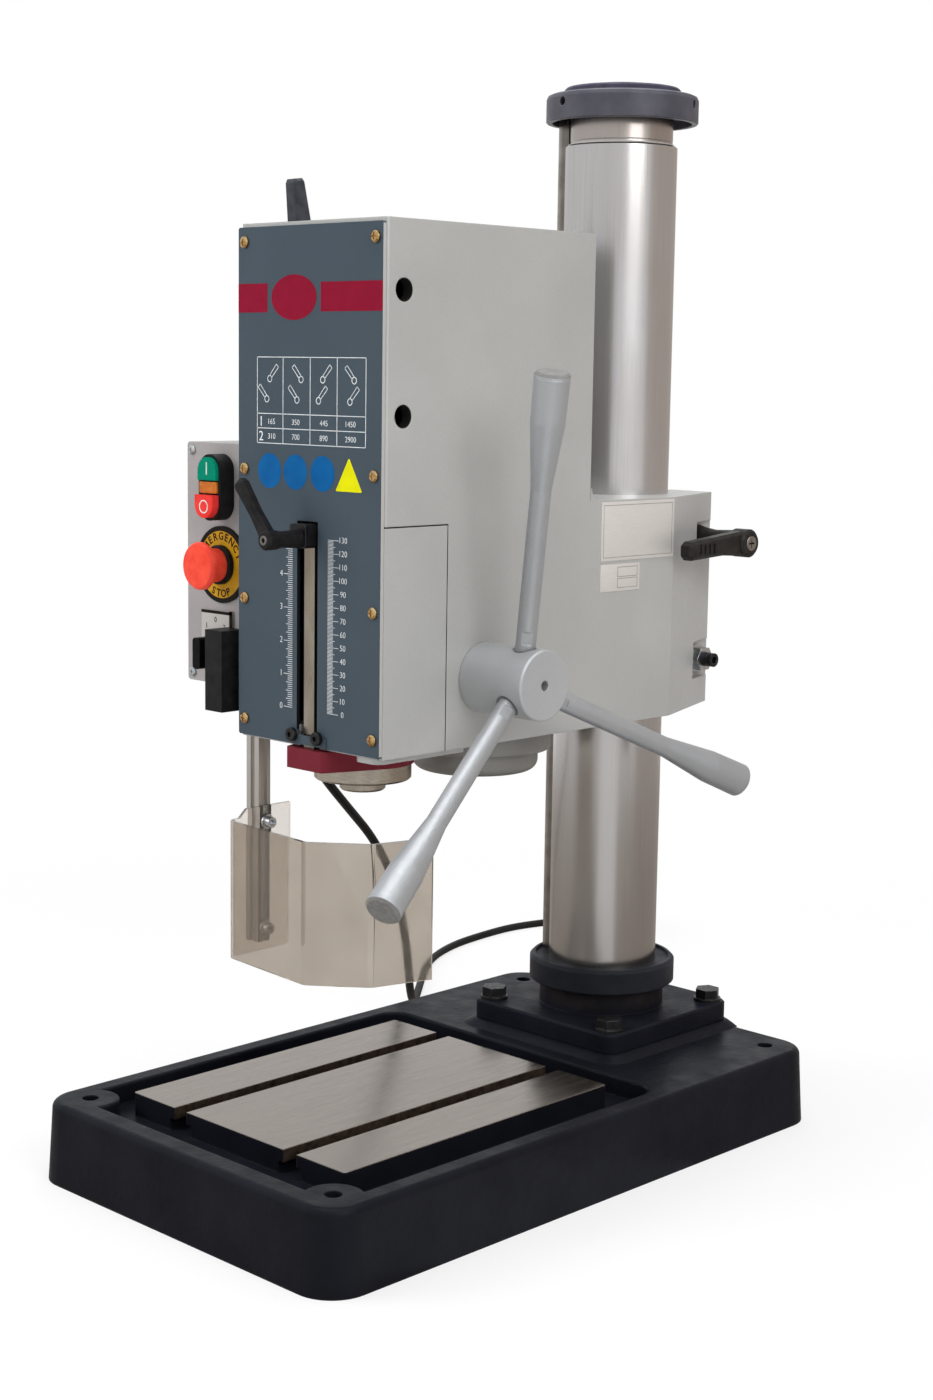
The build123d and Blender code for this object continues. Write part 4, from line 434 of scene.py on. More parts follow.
nut_zinc = zinc_plate("nut_zinc")
dress("clamp_nuts", nut_zinc)
dress("clamp_studs", bolt_black)
clamp_nylon = moulded("clamp_nylon", card(30, 28, 27), card(46, 43, 41), 0.36)
clamp_face_x = 0.10405
clamp_screw = above(clamp_nylon, axes(clamp_nylon)[0], clamp_face_x)
overlay(clamp_nylon, clamp_screw, card(150, 146, 140), 1.0, 0.3)
dress("clamp_lever", clamp_nylon)
stud_y, stud_z, stud_end = 259.0, 391.5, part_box("clamp_studs")[1].x * 1000
socket_r, hexagon_r, socket_deep = 6.0, 3.5, 4.5
socket_rim = bmesh.new()
outer = bmesh.ops.create_circle(socket_rim, segments=24, radius=socket_r)["verts"]
outer_line = list({edge for vert in outer for edge in vert.link_edges})
inner = bmesh.ops.create_circle(socket_rim, segments=6, radius=hexagon_r)["verts"]
hexagon = list({edge for vert in inner for edge in vert.link_edges})
bmesh.ops.subdivide_edges(socket_rim, edges=hexagon, cuts=3)
inner_line = [edge for edge in socket_rim.edges if edge not in set(outer_line)]
bmesh.ops.bridge_loops(socket_rim, edges=outer_line + inner_line)
drawn_up(socket_rim, socket_deep)
turn_out = Matrix.Rotation(math.pi / 2, 4, "Y")
bmesh.ops.transform(socket_rim, matrix=Matrix.Translation((stud_end, stud_y, stud_z)) @ turn_out,
                    verts=socket_rim.verts)
fit("stud_socket", socket_rim, bolt_black, "head")


# Motor, fan cowl and gear train
# The flange motor stands in the rear of the head, with its fan under a pressed and vented cowl.
# Gears and shafts inside are bare hardened steel with an oil film.
cowl_grey = silver_paint("cowl_grey", card(114, 112, 108), card(131, 129, 124), card(156, 154, 150))
dress("fan_cowl", cowl_grey)
dress("motor_body", cowl_grey)
for geared in ("motor_rotor", "layshaft", "drive_sleeve"):
    dress(geared, rack_steel)


# Quill, spindle and bearings
# The ground quill slides out of the head and carries the spindle in two bearings.
# Both are turned and ground, warmer in tone than the column, with fine rings round them.
quill_steel = new_finish("quill_steel", 0.28, 1.0)
quill_rings = grain(quill_steel, 0.0016, 4, (0.25, 0.25, 6))
quill_tone = two_tone(quill_steel, quill_rings, card(150, 141, 129), card(180, 171, 158))
surface(quill_steel, "Base Color", quill_tone)
uneven_gloss(quill_steel, grain(quill_steel, 0.02, 4), 0.22, 0.36)
relief(quill_steel, quill_rings, 0.00003, 0.0006)
for turned in ("quill", "spindle", "quill_bearings"):
    dress(turned, quill_steel)


# Quill bracket, depth bar and its guide
# A crimson bracket clamps on the quill and carries the flat depth bar, which runs behind a guide strip.
# The bar is bright drawn steel with its flanks painted dark, painted shade; the strip is slate with two
# black cap screws.
crimson = enamel("bracket_crimson", card(104, 34, 44), card(120, 41, 52), card(154, 84, 90), 0.3, 0.4)
relief(crimson, grain(crimson, 0.004, 3), 0.00015, 0.002)
dress("quill_bracket", crimson)
bar_steel = new_finish("bar_steel", 0.3, 1.0)
drawn = grain(bar_steel, 0.0015, 4, (6, 6, 0.12))
tarnish = span(bar_steel, grain(bar_steel, 0.03, 5, (1, 1, 0.5)), 0.35, 0.75)
bar_tone = two_tone(bar_steel, drawn, card(137, 128, 117), card(168, 158, 145))
surface(bar_steel, "Base Color", mixed(bar_steel, tarnish, bar_tone, card(112, 100, 84)))
uneven_gloss(bar_steel, drawn, 0.2, 0.34)
# The flanks of the bar are painted dark, painted shade.
bar_edge_x = 0.0057
bar_flank_shade = above(bar_steel, sums(bar_steel, "ABSOLUTE", axes(bar_steel)[0]), bar_edge_x)
overlay(bar_steel, bar_flank_shade, card(44, 41, 38), 0.6, 0.5)
relief(bar_steel, drawn, 0.00003, 0.0004)
dress("depth_bar", bar_steel)
dress("guide_screws", bolt_black)


# Depth stop
# A small block slides on the depth bar and is locked by a nylon clamping lever on a steel screw.
# The block is blackened steel, worn bright where it is handled.
dress("depth_stop_block", bolt_black)
stop_nylon = moulded("stop_nylon", card(22, 21, 22), card(36, 34, 34), 0.36)
stop_face_y = -0.19505
stop_screw = below(stop_nylon, axes(stop_nylon)[1], stop_face_y)
overlay(stop_nylon, stop_screw, card(120, 117, 112), 1.0, 0.32)
dress("depth_stop_lever", stop_nylon)


# Front panel
# A sheet of aluminium, sprayed slate grey and screen-printed, held by eight brass screws.
# The print is a speed chart, two depth scales and a crimson band; the sticker places are left plain.
panel_slate = new_finish("panel_slate", 0.5, 0.0, 0.08)
panel_cloud = grain(panel_slate, 0.08, 4)
slate_tone = two_tone(panel_slate, panel_cloud, card(65, 76, 85), card(69, 80, 89))
surface(panel_slate, "Base Color", slate_tone)
uneven_gloss(panel_slate, grain(panel_slate, 0.003, 3), 0.44, 0.58)
panel_x, panel_y, panel_z = axes(panel_slate)[0:3]
sheet_edge, sheet_front = 0.07945, -0.15195
bar_slot_half, bar_slot_low, bar_slot_top = 0.0117, 0.365, 0.5238
off_middle = sums(panel_slate, "ABSOLUTE", panel_x)
overlay(panel_slate, above(panel_slate, off_middle, sheet_edge), card(190, 189, 186), 0.4, 0.45)
near_middle = below(panel_slate, off_middle, bar_slot_half)
beside_bar = within(panel_slate, panel_z, bar_slot_low, bar_slot_top)
# The walls of the slot for the depth bar are painted dark, painted shade.
slot_shade = both(panel_slate, near_middle, beside_bar, above(panel_slate, panel_y, sheet_front))
overlay(panel_slate, slot_shade, card(26, 26, 28), 0.0, 0.6)
relief(panel_slate, grain(panel_slate, 0.0014, 2), 0.00006, 0.0006)
dress("front_panel", panel_slate)
dress("bar_guide", panel_slate)


def print_ink(name, thin, full):
    # Screen ink: slightly patchy where the squeegee ran.
    finish = new_finish(name, 0.48, 0.0, 0.08)
    surface(finish, "Base Color", shades(finish, grain(finish, 0.01, 5), (0.3, thin), (0.65, full)))
    relief(finish, grain(finish, 0.0006, 2), 0.00002)
    return finish


panel_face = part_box("front_panel")[0].y * 1000
ink = 0.12


def stroke(shape, x0, z0, x1, z1, width, face=panel_face):
    # One printed line from point to point on an upright face.
    run = Vector((x1 - x0, 0, z1 - z0))
    bar = bmesh.ops.create_cube(shape, size=1.0)["verts"]
    bmesh.ops.scale(shape, vec=(run.length + width, ink, width), verts=bar)
    turn = Matrix.Rotation(-math.atan2(run.z, run.x), 4, "Y")
    place = Matrix.Translation(((x0 + x1) / 2, face - ink / 2, (z0 + z1) / 2))
    bmesh.ops.transform(shape, matrix=place @ turn, verts=bar)


def lathe(shape, profile, centre, axis, steps, closed=False):
    # Points of radius and height spun once round an axis through the centre.
    up = Vector(axis).normalized()
    side = up.orthogonal().normalized()
    corner = [shape.verts.new(Vector(centre) + side * r + up * h) for r, h in profile]
    line = [shape.edges.new(pair) for pair in zip(corner, corner[1:])]
    if closed:
        line.append(shape.edges.new((corner[-1], corner[0])))
    bmesh.ops.spin(shape, geom=corner + line, cent=centre, axis=up, dvec=(0, 0, 0), angle=math.tau,
                   steps=steps, use_merge=True)
    bmesh.ops.remove_doubles(shape, verts=shape.verts, dist=0.0005)


def plain_type(shape, words, high, x, z, face=panel_face, turn=0.0, weight=0.0):
    # Plain type made a mesh, sized by its own height and centred on a point of the face.
    line = bpy.data.curves.new("type", "FONT")
    line.body = words
    line.extrude = 0.1
    line.offset = weight
    line.resolution_u = 3
    holder = bpy.data.objects.new("type", line)
    flat = bpy.data.meshes.new_from_object(holder)
    xs = [v.co.x for v in flat.vertices]
    ys = [v.co.y for v in flat.vertices]
    size = high / (max(ys) - min(ys))
    centre = Matrix.Translation((-(max(xs) + min(xs)) / 2, -(max(ys) + min(ys)) / 2, 0))
    scale = Matrix.Diagonal((size, size, ink / 0.2, 1))
    stand = Matrix.Rotation(math.pi / 2, 4, "X")
    lean = Matrix.Rotation(turn, 4, "Y")
    flat.transform(Matrix.Translation((x, face - ink / 2, z)) @ lean @ stand @ scale @ centre)
    shape.from_mesh(flat)
    bpy.data.objects.remove(holder)
    bpy.data.curves.remove(line)
    bpy.data.meshes.remove(flat)


white_ink = print_ink("white_ink", card(206, 211, 214), card(230, 232, 233))
chart = bmesh.new()
chart_x = (-57.5, -28.0, 2.4, 31.9, 62.6)
chart_z = (580.2, 591.4, 602.4, 644.6)
for z in chart_z:
    stroke(chart, chart_x[0], z, chart_x[-1], z, 0.55)
for x in chart_x:
    stroke(chart, x, chart_z[0], x, chart_z[-1], 0.55)
for x, z, lean in ((-43.2, 628.5, 1), (-46.5, 613.4, -1), (-7.8, 628.3, -1), (-12.3, 613.1, -1),
                   (16.2, 628.4, 1), (11.6, 613.0, 1), (50.1, 628.2, -1), (45.7, 612.8, 1)):
    tip_x = x + lean * 8.8
    tip_z = z + 9.8
    lathe(chart, [(2.1, 0), (2.7, 0), (2.7, ink), (2.1, ink)], (x, panel_face, z), (0, -1, 0), 20, True)
    stroke(chart, x + lean * 0.3, z + 2.9, tip_x - lean * 1.3, tip_z + 1.1, 0.5)
    stroke(chart, x + lean * 2.5, z + 1.2, tip_x + lean * 1.3, tip_z - 1.1, 0.5)
    stroke(chart, tip_x - lean * 1.3, tip_z + 1.1, tip_x + lean * 1.3, tip_z - 1.1, 0.5)
fit("panel_chart", chart, white_ink, "head")

figures = bmesh.new()
speed_rows = ((596.6, "1", ("165", "350", "445", "1450")), (585.6, "2", ("310", "700", "890", "2900")))
for z, row, speeds in speed_rows:
    plain_type(figures, row, 7.2, -53.0, z)
    for x, speed in zip((-40.9, -13.6, 17.4, 46.6), speeds):
        plain_type(figures, speed, 4.1, x, z, weight=-0.008)
for step in range(14):
    plain_type(figures, str(step * 10), 4.3, 39.6, 381.6 + step * 10, weight=-0.014)
for step in range(5):
    plain_type(figures, str(step), 4.6, -29.4, 381.4 + step * 25.4, weight=-0.014)
fit("panel_figures", figures, white_ink, "head")

scales = bmesh.new()
for step in range(131):
    reach = 34.6 if step % 10 == 0 else 30.6 if step % 5 == 0 else 28.6
    stroke(scales, 23.0, 381.0 + step, reach, 381.0 + step, 0.34)
for step in range(78):
    reach = -26.2 if step % 16 == 0 else -23.6 if step % 4 == 0 else -21.6
    stroke(scales, -16.8, 381.0 + step * 25.4 / 16, reach, 381.0 + step * 25.4 / 16, 0.4)
fit("panel_scales", scales, white_ink, "head")

band_ink = print_ink("band_ink", card(127, 10, 40), card(133, 13, 44))
band = bmesh.new()
disc_ring = ((0, 0), (16.7, 0), (16.7, ink), (0, ink))
lathe(band, disc_ring, (0, panel_face, 0), (0, -1, 0), 64)
bmesh.ops.scale(band, vec=(1.51, 1, 1), verts=band.verts)
bmesh.ops.translate(band, vec=(-16.1, 0, 688.5), verts=band.verts)
stroke(band, -68.8, 688.4, -56.6, 688.4, 21.4)
stroke(band, 24.3, 688.6, 68.7, 688.6, 21.4)
fit("panel_band", band, band_ink, "head")

blue_ink = print_ink("sticker_blue", card(4, 82, 142), card(8, 92, 152))
stickers = bmesh.new()
for x in (-43.2, -13.9, 16.3):
    lathe(stickers, [(0, 0), (13.2, 0), (13.2, ink), (0, ink)], (x, panel_face, 559.5), (0, -1, 0), 48)
fit("panel_stickers_blue", stickers, blue_ink, "head")
yellow_ink = print_ink("sticker_yellow", card(216, 212, 4), card(226, 224, 6))
triangle = bmesh.new()
bmesh.ops.create_circle(triangle, cap_ends=True, segments=3, radius=16.6)
bmesh.ops.bevel(triangle, geom=triangle.verts[:], offset=1.6, segments=3, profile=0.5, affect="VERTICES",
                material=-1)
drawn_up(triangle, ink)
upright = Matrix.Translation((45.1, panel_face, 555.8)) @ Matrix.Rotation(math.pi / 2, 4, "X")
bmesh.ops.transform(triangle, matrix=upright, verts=triangle.verts)
fit("panel_sticker_yellow", triangle, yellow_ink, "head")

brass = new_finish("screw_brass", 0.24, 1.0)
brass_cloud = grain(brass, 0.004, 5)
brass_tones = ((0.3, card(168, 124, 70)), (0.6, card(206, 174, 122)), (0.85, card(224, 204, 162)))
surface(brass, "Base Color", shades(brass, brass_cloud, *brass_tones))
uneven_gloss(brass, brass_cloud, 0.18, 0.34)
relief(brass, grain(brass, 0.0008, 2), 0.00003, 0.0004)
dress("panel_screws", brass)


# Plates on the side of the head
# Two small plates of satin aluminium, glued on; their faces are left blank inside an etched line.
# They are thin sheet with the corners clipped square.
def satin_sheet(name, dark, light):
    # Brushed and anodised sheet, lines one way.
    finish = new_finish(name, 0.42, 0.45)
    lines = grain(finish, 0.0014, 4, (1, 0.15, 6))
    surface(finish, "Base Color", two_tone(finish, lines, dark, light))
    uneven_gloss(finish, lines, 0.36, 0.5)
    relief(finish, lines, 0.00002)
    return finish


plate_metal = satin_sheet("plate_metal", card(212, 208, 204), card(224, 220, 216))
side_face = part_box("head_housing")[1].x * 1000


def side_slab(shape, y0, y1, z0, z1, thick, edge):
    slab = bmesh.ops.create_cube(shape, size=1.0)["verts"]
    bmesh.ops.scale(shape, vec=(thick, y1 - y0, z1 - z0), verts=slab)
    bmesh.ops.translate(shape, vec=(side_face + thick / 2, (y0 + y1) / 2, (z0 + z1) / 2), verts=slab)
    rim = {e for v in slab for e in v.link_edges if all(w.co.x > side_face + thick / 2 for w in e.verts)}
    bmesh.ops.bevel(shape, geom=list(rim), offset=edge, segments=2, profile=0.5, affect="EDGES", material=-1)


plates = bmesh.new()
side_slab(plates, 91.0, 183.0, 486.5, 534.0, 0.7, 0.25)
side_slab(plates, 91.0, 140.0, 461.5, 483.7, 0.7, 0.25)
fit("side_plates", plates, plate_metal, "head")
etch_ink = print_ink("plate_etch", card(150, 146, 142), card(128, 124, 120))
etching = bmesh.new()
line_w = 0.5
etched = ((93.5, 180.5, 489.0, 531.5), (112.0, 137.0, 464.0, 472.0), (112.0, 137.0, 473.0, 481.2))
for y0, y1, z0, z1 in etched:
    side_slab(etching, y0, y1, z0, z0 + line_w, 0.76, 0.02)
    side_slab(etching, y0, y1, z1 - line_w, z1, 0.76, 0.02)
    side_slab(etching, y0, y0 + line_w, z0, z1, 0.76, 0.02)
    side_slab(etching, y1 - line_w, y1, z0, z1, 0.76, 0.02)
fit("side_plate_lines", etching, etch_ink, "head")


# Feed hub, arms and shaft
# The turned hub carries three steel arms that flare into long grips; all are sprayed satin silver, and the
# arms carry a darker copy of the hub's silver as painted shade.
# The flat ends of the arms are painted a darker grey, painted shade on the cut ends, and the pinion shaft
# behind is bare steel.
feed_dark, feed_light, feed_edge = card(168, 170, 172), card(182, 184, 186), card(202, 204, 206)
feed_silver = silver_paint("feed_silver", feed_dark, feed_light, feed_edge, 0.4)
# The arms' silver is a darker copy of the hub's, painted shade.
arm_shade_dark, arm_shade_light = card(154, 156, 159), card(168, 170, 173)
dress("feed_hub", feed_silver)
dress("feed_shaft", rack_steel)
hub_face = Vector((0.124, -0.043, 0.405))
arm_rise, arm_reach, arm_seat, end_face_thick = 0.043, 0.215, 0.018, 0.0021
for turn, arm in enumerate(("feed_arm_1", "feed_arm_2", "feed_arm_3")):
    angle = math.radians(96 + 120 * turn)
    across = Vector((0, math.cos(angle), math.sin(angle)))
    run = (Vector((arm_rise, 0, 0)) + across * arm_reach).normalized()
    arm_foot = hub_face + across * arm_seat
    arm_silver = silver_paint("arm_silver_" + str(turn + 1), arm_shade_dark, arm_shade_light, feed_edge, 0.5)
    place = node(arm_silver, "TexCoord", {}).outputs["Object"]
    along = node(arm_silver, "VectorMath", {0: place, 1: run}, operation="DOT_PRODUCT").outputs["Value"]
    # The flat end of each arm is painted darker grey, painted shade.
    end_face_start = arm_foot.dot(run) + math.hypot(arm_rise, arm_reach) - end_face_thick
    end_shade_cloud = grain(arm_silver, 0.004, 4)
    end_shade_grey = two_tone(arm_silver, end_shade_cloud, card(106, 105, 103), card(126, 124, 121))
    overlay(arm_silver, above(arm_silver, along, end_face_start), end_shade_grey, 0.0, 0.5)
    dress(arm, arm_silver)


# Spring cup, shift levers and elevating crank
# On the blind side sit the return-spring cup, the two speed levers and the crank that lifts the head.
# The levers are moulded in dark grey nylon; the crank is plated steel with a black grip.
dress("spring_cup", feed_silver)
shift_nylon = moulded("shift_nylon", card(52, 53, 58), card(68, 70, 76), 0.42)
dress("shift_lever_upper", shift_nylon)
dress("shift_lever_lower", shift_nylon)
crank_steel = zinc_plate("crank_steel")
crank_cloud = grain(crank_steel, 0.008, 4)
crank_black = two_tone(crank_steel, crank_cloud, card(24, 23, 25), card(42, 41, 44))
grip_y = 0.2971
overlay(crank_steel, above(crank_steel, axes(crank_steel)[1], grip_y), crank_black, 0.0, 0.42)
dress("elevating_crank", crank_steel)
dress("elevating_pinion", rack_steel)


# Control box
# A folded steel box with a screwed lid hangs on the left of the head, powder-coated warm grey.
# The lid carries the push-buttons, the emergency stop and the rotary switch.
box_powder = new_finish("box_powder", 0.5, 0.0, 0.4)
box_cloud = grain(box_powder, 0.05, 4)
box_rub = sums(box_powder, "MULTIPLY", worn_edge(box_powder, 0.001), 0.4)
box_tone = two_tone(box_powder, box_cloud, card(152, 147, 147), card(163, 158, 158))
surface(box_powder, "Base Color", mixed(box_powder, box_rub, box_tone, card(198, 195, 194)))
uneven_gloss(box_powder, grain(box_powder, 0.003, 3), 0.44, 0.58)
relief(box_powder, grain(box_powder, 0.0016, 3), 0.00018, 0.001)
dress("control_box", box_powder)
dress("control_cover", box_powder)
dress("cover_screws", nut_zinc)
dress("cable_gland", moulded("gland_nylon", card(22, 22, 23), card(34, 34, 36), 0.48))


# Push-buttons and lamp
# A moulded double button: green start flush above, red stop standing proud below, amber lens between.
# The start bar and the stop ring are moulded in white and travel with their buttons.
button_black = moulded("button_black", card(20, 20, 21), card(31, 31, 33), 0.4)
dress("button_surround", button_black)
dress("start_button", moulded("start_green", card(3, 118, 92), card(6, 132, 106), 0.32, 0.03))
dress("stop_button", moulded("stop_red", card(214, 46, 44), card(232, 62, 56), 0.34))
amber = new_finish("lens_amber", 0.25, 0.0, 0.12)
amber_tone = two_tone(amber, grain(amber, 0.004, 3), card(200, 104, 22), card(222, 130, 38))
surface(amber, "Base Color", amber_tone)
surface(amber, "Transmission Weight", 0.2)
relief(amber, grain(amber, 0.0015, 1, (0.2, 1, 4)), 0.0002, 0.0008)
dress("pilot_lens", amber)
mark_white = moulded("mark_white", card(222, 222, 218), card(234, 234, 230), 0.4)
button_x, start_z, stop_z = -117.5, 558.0, 528.4
start_mark = bmesh.new()
start_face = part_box("start_button")[0].y * 1000
stroke(start_mark, button_x, start_z - 4.4, button_x, start_z + 4.4, 1.1, start_face)
fit("start_mark", start_mark, mark_white, "start_button")
stop_mark = bmesh.new()
stop_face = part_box("stop_button")[0].y * 1000
ring_profile = [(4.3, 0), (5.3, 0), (5.3, ink), (4.3, ink)]
lathe(stop_mark, ring_profile, (button_x, stop_face, stop_z), (0, -1, 0), 32, True)
fit("stop_mark", stop_mark, mark_white, "stop_button")


# Emergency stop
# A red mushroom on a black collar, standing on a printed yellow disc with a dark edge and black legend.
# It latches when it is pushed in and is freed by a turn.
estop_x, estop_z, disc_edge = -118.0, 482.0, 0.0266
disc_yellow = new_finish("disc_yellow", 0.4, 0.0, 0.08)
disc_place = axes(disc_yellow)
from_stem = off_line(disc_yellow, disc_place[0], disc_place[2], estop_x / 1000, estop_z / 1000)
edge_band = above(disc_yellow, from_stem, disc_edge)
disc_cloud = grain(disc_yellow, 0.012, 4)
gold = two_tone(disc_yellow, disc_cloud, card(182, 136, 26), card(204, 156, 36))
surface(disc_yellow, "Base Color", mixed(disc_yellow, edge_band, gold, card(22, 18, 14)))
uneven_gloss(disc_yellow, grain(disc_yellow, 0.004, 3), 0.34, 0.48)
relief(disc_yellow, grain(disc_yellow, 0.001, 2), 0.00004, 0.0005)
dress("estop_disc", disc_yellow)
dress("estop_collar", button_black)
dress("estop_button", moulded("mushroom_red", card(226, 64, 48), card(240, 82, 62), 0.34))
black_ink = print_ink("black_ink", card(26, 19, 13), card(18, 13, 9))
legend = bmesh.new()
legend_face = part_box("estop_disc")[0].y * 1000
legend_r = 22.7
for word, apart, half in (("EMERGENCY", 17.5, 1), ("STOP", 15.5, -1)):
    for step, letter in enumerate(word):
        swing = math.radians(apart * (step - (len(word) - 1) / 2))
        x = estop_x + legend_r * math.sin(swing)
        z = estop_z + half * legend_r * math.cos(swing)
        plain_type(legend, letter, 6.2, x, z, legend_face, half * swing, 0.02)
fit("estop_legend", legend, black_ink, "head")


# Rotary switch
# A satin plate printed with its positions and a black border, widest at the right and top, and a black
# turning handle.
# The handle is moulded nylon.
dress("switch_plate", satin_sheet("switch_satin", card(182, 178, 174), card(194, 190, 186)))
dress("switch_handle", moulded("switch_black", card(10, 10, 10), card(17, 17, 17), 0.4, 0.06))
plate_low, plate_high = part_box("switch_plate")
switch_face = plate_low.y * 1000
left, right = plate_low.x * 1000 + 1.0, plate_high.x * 1000 - 1.6
floor_z, roof_z = plate_low.z * 1000 + 1.0, plate_high.z * 1000 - 1.0
positions = bmesh.new()
# The black border on the plate is widest at the right and top.
stroke(positions, right, floor_z, right, roof_z, 4.0, switch_face)
stroke(positions, left, roof_z, right, roof_z, 2.4, switch_face)
for start_x, end_x in ((left, -133.0), (-118.0, right)):
    stroke(positions, start_x, floor_z, end_x, floor_z, 1.2, switch_face)
for word, x, z in (("0", -125.5, 437.6), ("1", -136.6, 432.2), ("2", -114.8, 432.2)):
    plain_type(positions, word, 4.4, x, z, switch_face)
fit("switch_positions", positions, black_ink, "head")


# Chip guard
# A clear polycarbonate shield, bent cold and screwed to an aluminium profile that swings on a pin; its sheet
# is tinted warm beige, a painted backdrop seen through it and reflected on it.
# The pivot sits in a black block with the safety switch inside.
# The flap behind the profile carries less of this painted tint than the front, so the doubled sheet stays
# clear.
dress("guard_pivot_block", button_black)
profile_metal = new_finish("profile_metal", 0.36, 0.8)
drawn_lines = grain(profile_metal, 0.0016, 4, (6, 6, 0.1))
profile_tone = two_tone(profile_metal, drawn_lines, card(176, 171, 164), card(199, 195, 189))
surface(profile_metal, "Base Color", profile_tone)
uneven_gloss(profile_metal, drawn_lines, 0.3, 0.44)
relief(profile_metal, drawn_lines, 0.00003, 0.0006)
dress("guard_profile", profile_metal)
dress("guard_pivot_pin", quill_steel)
dress("guard_screws", nut_zinc)
clear_sheet = new_finish("clear_sheet", 0.04, 0.0)
backdrop_tint_cloud = grain(clear_sheet, 0.05, 4)
# The warm beige tint is a painted backdrop seen through the sheet and reflected on it.
backdrop_tint = two_tone(clear_sheet, backdrop_tint_cloud, card(174, 164, 152), card(186, 176, 164))
flap_x = -0.0855
on_flap = below(clear_sheet, axes(clear_sheet)[0], flap_x)
surface(clear_sheet, "Base Color", mixed(clear_sheet, on_flap, backdrop_tint, card(240, 234, 228)))
surface(clear_sheet, "Roughness", span(clear_sheet, grain(clear_sheet, 0.01, 4), 0.4, 0.8, 0.02, 0.09))
surface(clear_sheet, "Transmission Weight", 0.88)
surface(clear_sheet, "IOR", 1.49)
dress("guard_shield", clear_sheet)


# Supply lead
# A round black rubber lead hangs from the gland, runs over the floor and ends in its plug.
# The spare length lies wound in a neat coil behind the machine, held by a strap.
lead_black = new_finish("lead_rubber", 0.5, 0.0, 0.12)
lead_tone = grain(lead_black, 0.02, 5)
lead_shade = two_tone(lead_black, lead_tone, card(22, 22, 23), card(36, 35, 35))
surface(lead_black, "Base Color", lead_shade)
uneven_gloss(lead_black, lead_tone, 0.42, 0.6)
relief(lead_black, grain(lead_black, 0.0012, 2), 0.00008)
lead_r = 4.0
lead_rest = 4.2
lead_pitch = 8.4
route = [(-140, -73.787, 379.787), (-140, -49.745, 355.745), (-156, -19, 325), (-172.5, 17.6, 288),
         (-194.4, 71.3, 247), (-218, 127, 206), (-237, 172, 155), (-249, 199, 92), (-259, 215, 38),
         (-292, 253, 6), (-343.7, 313.4, lead_rest), (-402, 380, lead_rest), (-434, 450, lead_rest),
         (-443, 522, lead_rest)]
coil_mid = Vector((-375, 641, lead_rest))
coil_r = 44.0
turn_r = 44.6
way_in = Vector((0.29, 0.957, 0)).normalized()
entry = coil_mid - Vector((way_in.y, -way_in.x, 0)) * coil_r
route.append(tuple(entry - way_in * 90))
route.append(tuple(entry - way_in * 40))
coil_from = math.degrees(math.atan2(way_in.x, -way_in.y))
way_out = Vector((0.647, -0.762, 0)).normalized()
coil_to = math.degrees(math.atan2(way_out.x, -way_out.y))
full_turns = 3
wind = (coil_from - coil_to) % 360 + 360 * full_turns
coil_steps = 44
for step in range(coil_steps + 1):
    angle = math.radians(coil_from - wind * step / coil_steps)
    rise = lead_pitch * wind / 360 * step / coil_steps
    route.append(tuple(coil_mid + Vector((turn_r * math.cos(angle), turn_r * math.sin(angle), rise))))
coil_top = Vector(route[-1])
plug_z = 17.2
drop = coil_top.z - plug_z
aside = Vector((-way_out.y, way_out.x, 0))
for run, over, fall in ((35, 0, 0.05), (70, -4, 0.4), (105, -12, 0.92), (140, -18, 1.0), (172, -21, 1.0)):
    route.append(tuple(coil_top + way_out * run + aside * over - Vector((0, 0, drop * fall))))
lead_line = bpy.data.curves.new("lead_line", "CURVE")
lead_line.dimensions = "3D"
lead_line.resolution_u = 6
thread = lead_line.splines.new("NURBS")
thread.points.add(len(route) - 1)
for knot, point in zip(thread.points, route):
    knot.co = (point[0] / 1000, point[1] / 1000, point[2] / 1000, 1)
thread.order_u = 3
thread.use_endpoint_u = True
lead_holder = bpy.data.objects.new("lead_line", lead_line)
thin = bpy.data.meshes.new_from_object(lead_holder)
lead_line.bevel_depth = lead_r / 1000
lead_line.bevel_resolution = 3
lead_line.use_fill_caps = True
tube = bpy.data.meshes.new_from_object(lead_holder)
tube.name = "supply_lead"
for face in tube.polygons:
    face.use_smooth = True
tube.materials.clear()
tube.materials.append(lead_black)
lead = bpy.data.objects.new("supply_lead", tube)
bpy.context.scene.collection.objects.link(lead)
bpy.data.objects.remove(lead_holder)
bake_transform(lead)
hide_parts("mains_lead", "lead_coil")
dress("lead_plug", lead_black)
strap_finish = moulded("strap_hook_tape", card(28, 28, 30), card(44, 44, 46), 0.6)
strap_angle = math.radians(coil_from - 180)
strap_low = lead_rest + lead_pitch / 2 - lead_r
strap_tall = 2 * lead_r + 2 * lead_pitch
strap_wide = 2 * lead_r
strap_long, strap_thick, strap_play = 12.0, 1.0, 0.2
strap_over = 2 * (strap_thick + strap_play)
strap = bmesh.new()
bmesh.ops.create_grid(strap, x_segments=1, y_segments=1, size=0.5)
bmesh.ops.scale(strap, vec=(strap_wide + strap_over, strap_tall + strap_over, 1), verts=strap.verts)
bmesh.ops.bevel(strap, geom=strap.verts[:], offset=4.0, segments=5, profile=0.5, affect="VERTICES",
                material=-1)
bmesh.ops.inset_region(strap, faces=strap.faces[:], thickness=strap_thick, use_boundary=True,
                       use_even_offset=True)
middle = min(strap.faces, key=lambda face: face.calc_center_median().length)
bmesh.ops.delete(strap, geom=[middle], context="FACES_ONLY")
drawn_up(strap, strap_long)
bmesh.ops.translate(strap, vec=(0, 0, -strap_long / 2), verts=strap.verts)
outward = Vector((math.cos(strap_angle), math.sin(strap_angle), 0))
straight_up = Vector((0, 0, 1))
